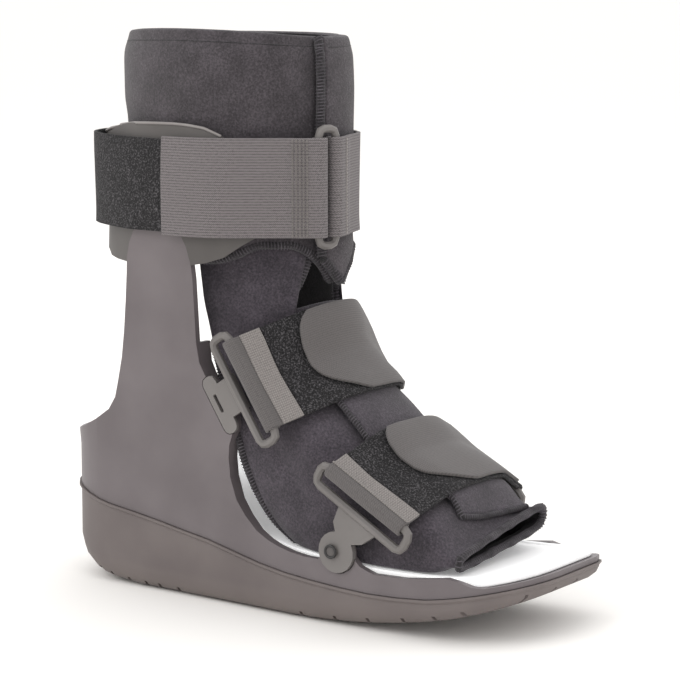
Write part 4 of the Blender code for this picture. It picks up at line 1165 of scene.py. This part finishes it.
@dataclass
class LegStrap:
    """The strap round the calf: black pile behind, a tab folded back from the ring and the front length.

    Attributes:
        wardrobe: The boot's finishes.
    """

    wardrobe: Wardrobe

    @staticmethod
    def ray(w: float, angle: float) -> tuple[Vector, Vector]:
        """A level ray from the leg's axis."""
        return Vector((LEG_AXIS_X, 0, STRAP_LEVEL + w)), Vector((math.cos(angle), math.sin(angle), 0))

    def bars(self) -> tuple[Vector, Vector, Vector]:
        """The ring's left bar, its right bar and its outward direction."""
        spots = [v.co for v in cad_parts["top_ring"].data.vertices if abs(v.co.z - STRAP_LEVEL) < 27 * MM]
        centre = sum(spots, Vector()) / len(spots)
        left = min(spots, key=lambda p: p.y)
        right = max(spots, key=lambda p: p.y)
        tangent = Vector((right.x - left.x, right.y - left.y, 0)).normalized()
        out = Vector((tangent.y, -tangent.x, 0))
        if out.x < 0:
            out = -out
        return centre - tangent * 5.2 * MM, centre + tangent * 5.2 * MM, out

    def course(self, draper: Draper, turns: tuple[float, float], count: int, bar: Vector | None = None,
               leave: Vector | None = None, out: Vector | None = None, slack: float = 0.0) -> StrapPath:
        """Lay a length of the strap.

        Args:
            draper: What it lies on.
            turns: Its first and last angle, in degrees.
            count: How many rays.
            bar: The ring's bar that it folds round, if it does.
            leave: The way that it leaves the bar.
            out: The ring's outward direction.
            slack: How far it stands off where it turns behind the leg.

        Returns:
            Its course.
        """
        angles = [math.radians(turns[0] + (turns[1] - turns[0]) * k / (count - 1)) for k in range(count)]
        rows = []
        for i in range(9):
            w = STRAP_WIDTH * (i / 8 - 0.5)
            if bar is None:
                line = draper.line(w, angles)
                ease = [slack * math.exp(-((math.degrees(angle) + 148) / 30) ** 2) for angle in angles]
                rows.append([(spot + way * off, way) for (spot, way), off in zip(line, ease)])
                continue
            spot = Vector((bar.x, bar.y, STRAP_LEVEL + w))
            top = spot + out * RING_FOLD - self.ray(w, 0)[0]
            line = draper.line(w, [math.atan2(top.y, top.x)] + angles, {0: top.length})[1:]
            rows.append(bend_round(spot, leave, out, line[0][0], RING_FOLD) + line)
        return StrapPath(rows)

    def build(self, under: list[Object]) -> None:
        """Make the three lengths and their stitching, over the pieces under them."""
        w = self.wardrobe
        left, right, out = self.bars()
        tangent = (right - left).normalized()
        draper = Draper(search_trees(*under), self.ray)
        course = self.course(draper, (-36, -258), 64, slack=4.5 * MM)
        pile = course.band("leg_strap_pile", 0.0, course.length(), w["pile"], "pile", "top_strap_pile",
                           edges=(0.03, 0.97))
        over = Draper(search_trees(*under, pile), self.ray)
        tab_course = self.course(over, (-28, -94), 24, left, -tangent, out)
        tab_course.band("leg_strap_tab", 0.0, tab_course.length(), w["webbing"], "webbing", "top_strap_tab")
        front_course = self.course(over, (-2, 122), 40, right, tangent, out)
        front_course.band("leg_strap_front", 0.0, front_course.length(), w["webbing"], "webbing", "top_strap_front")
        fold = RING_FOLD * math.radians(200)
        self.stitches("leg_tab_stitching", tab_course, [fold + (9 + 1.9 * k) * MM for k in range(5)])
        self.stitches("leg_front_stitching", front_course, [fold + 7.5 * MM], w["pale_thread"])

    def stitches(self, name: str, course: StrapPath, places: list[float],
                 material: Material | None = None) -> None:
        """Sew rows of stitches across a strap, at distances from its start."""
        bm = bmesh.new()
        for s in places:
            for k in range(26):
                across = 0.03 + 0.94 * k / 25
                spot = course.at(s, across, STRAP_THICK + 0.15 * MM)
                made = bmesh.ops.create_uvsphere(bm, u_segments=6, v_segments=4, radius=0.6 * MM)
                bmesh.ops.scale(bm, verts=made["verts"], vec=(1, 1, 1.5))
                bmesh.ops.translate(bm, verts=made["verts"], vec=spot)
        obj = new_object(name, bm, material or self.wardrobe["block"])
        place_piece(obj, "webbing")


# Name, place, side in metres and power in watts
LIGHTS = (
    ("key", (-0.7, -1.5, 1.5), 1.1, 9.0), ("fill", (1.6, -0.6, 0.9), 1.2, 1.6), ("top", (0.0, 0.3, 1.9), 1.4, 5.0),
    ("back", (-0.9, 1.4, 0.9), 1.0, 3.0),
)


@dataclass
class Studio:
    """The pale floor, the soft lights and the camera.

    Attributes:
        target: What the camera looks at.
        eye: Where it stands.
        lens: Its focal length in millimetres.
    """

    target: tuple[float, float, float] = (0.01525, 0.0, 0.135)
    eye: tuple[float, float, float] = (0.7837, -1.0975, 0.3376)
    lens: float = 140.3

    def build(self) -> None:
        """Set up the picture."""
        self.camera()
        self.floor()
        self.world()
        for row in LIGHTS:
            self.light(*row)

    def camera(self) -> None:
        """Place the camera."""
        data = bpy.data.cameras.new("camera")
        data.lens = self.lens
        data.sensor_width = 36.0
        data.clip_end = 50.0
        obj = link(bpy.data.objects.new("camera", data))
        obj.location = self.eye
        aim = Vector(self.target) - Vector(self.eye)
        obj.rotation_euler = aim.to_track_quat("-Z", "Y").to_euler()
        bpy.context.scene.camera = obj

    def floor(self) -> None:
        """Lay the floor."""
        bm = bmesh.new()
        bmesh.ops.create_grid(bm, x_segments=2, y_segments=2, size=60.0)
        bmesh.ops.translate(bm, verts=bm.verts, vec=(0, 0, -0.2 * MM))
        material = bpy.data.materials.new("studio_floor")
        material.use_nodes = True
        shader = material.node_tree.nodes["Principled BSDF"]
        shader.inputs["Base Color"].default_value = srgb("#FBF9F6")
        shader.inputs["Roughness"].default_value = 0.9
        new_object("studio_floor", bm, material)

    def world(self) -> None:
        """Light the room evenly."""
        world = bpy.data.worlds.new("studio")
        world.use_nodes = True
        back = world.node_tree.nodes["Background"]
        back.inputs["Color"].default_value = (1.0, 0.995, 0.99, 1.0)
        back.inputs["Strength"].default_value = 1.08
        bpy.context.scene.world = world
        bpy.context.scene.view_settings.view_transform = "Standard"

    def light(self, name: str, spot: tuple[float, float, float], size: float, power: float) -> None:
        """Add a soft box that faces the boot."""
        data = bpy.data.lights.new(name, "AREA")
        data.shape = "SQUARE"
        data.size = size
        data.energy = power
        obj = link(bpy.data.objects.new(name, data))
        obj.location = spot
        obj.rotation_euler = (Vector((0, 0, 0.12)) - Vector(spot)).to_track_quat("-Z", "Y").to_euler()


def main() -> None:
    """Build the boot in order."""
    logging.basicConfig(level=logging.INFO)
    wardrobe = {key: finish.build() for key, finish in FINISHES.items()}
    Studio().build()
    rigid = build_rigid(wardrobe)
    leg = LegWrap(wardrobe)
    leg.build()
    foot = FootWrap(wardrobe)
    foot.build()
    under = [foot.obj, foot.flap]
    FootStrap("instep", wardrobe, (-7.3 * MM, 113.8 * MM), 31.5, 34, (11.0 * MM, 22.0 * MM)).build(under)
    FootStrap("toe", wardrobe, (64.35 * MM, 62.0 * MM), 60.0, 35, (6.3 * MM, 18.2 * MM)).build(under)
    LegStrap(wardrobe).build([leg.obj, rigid["shell"], rigid["cuff"]])


if __name__ == "__main__":
    main()
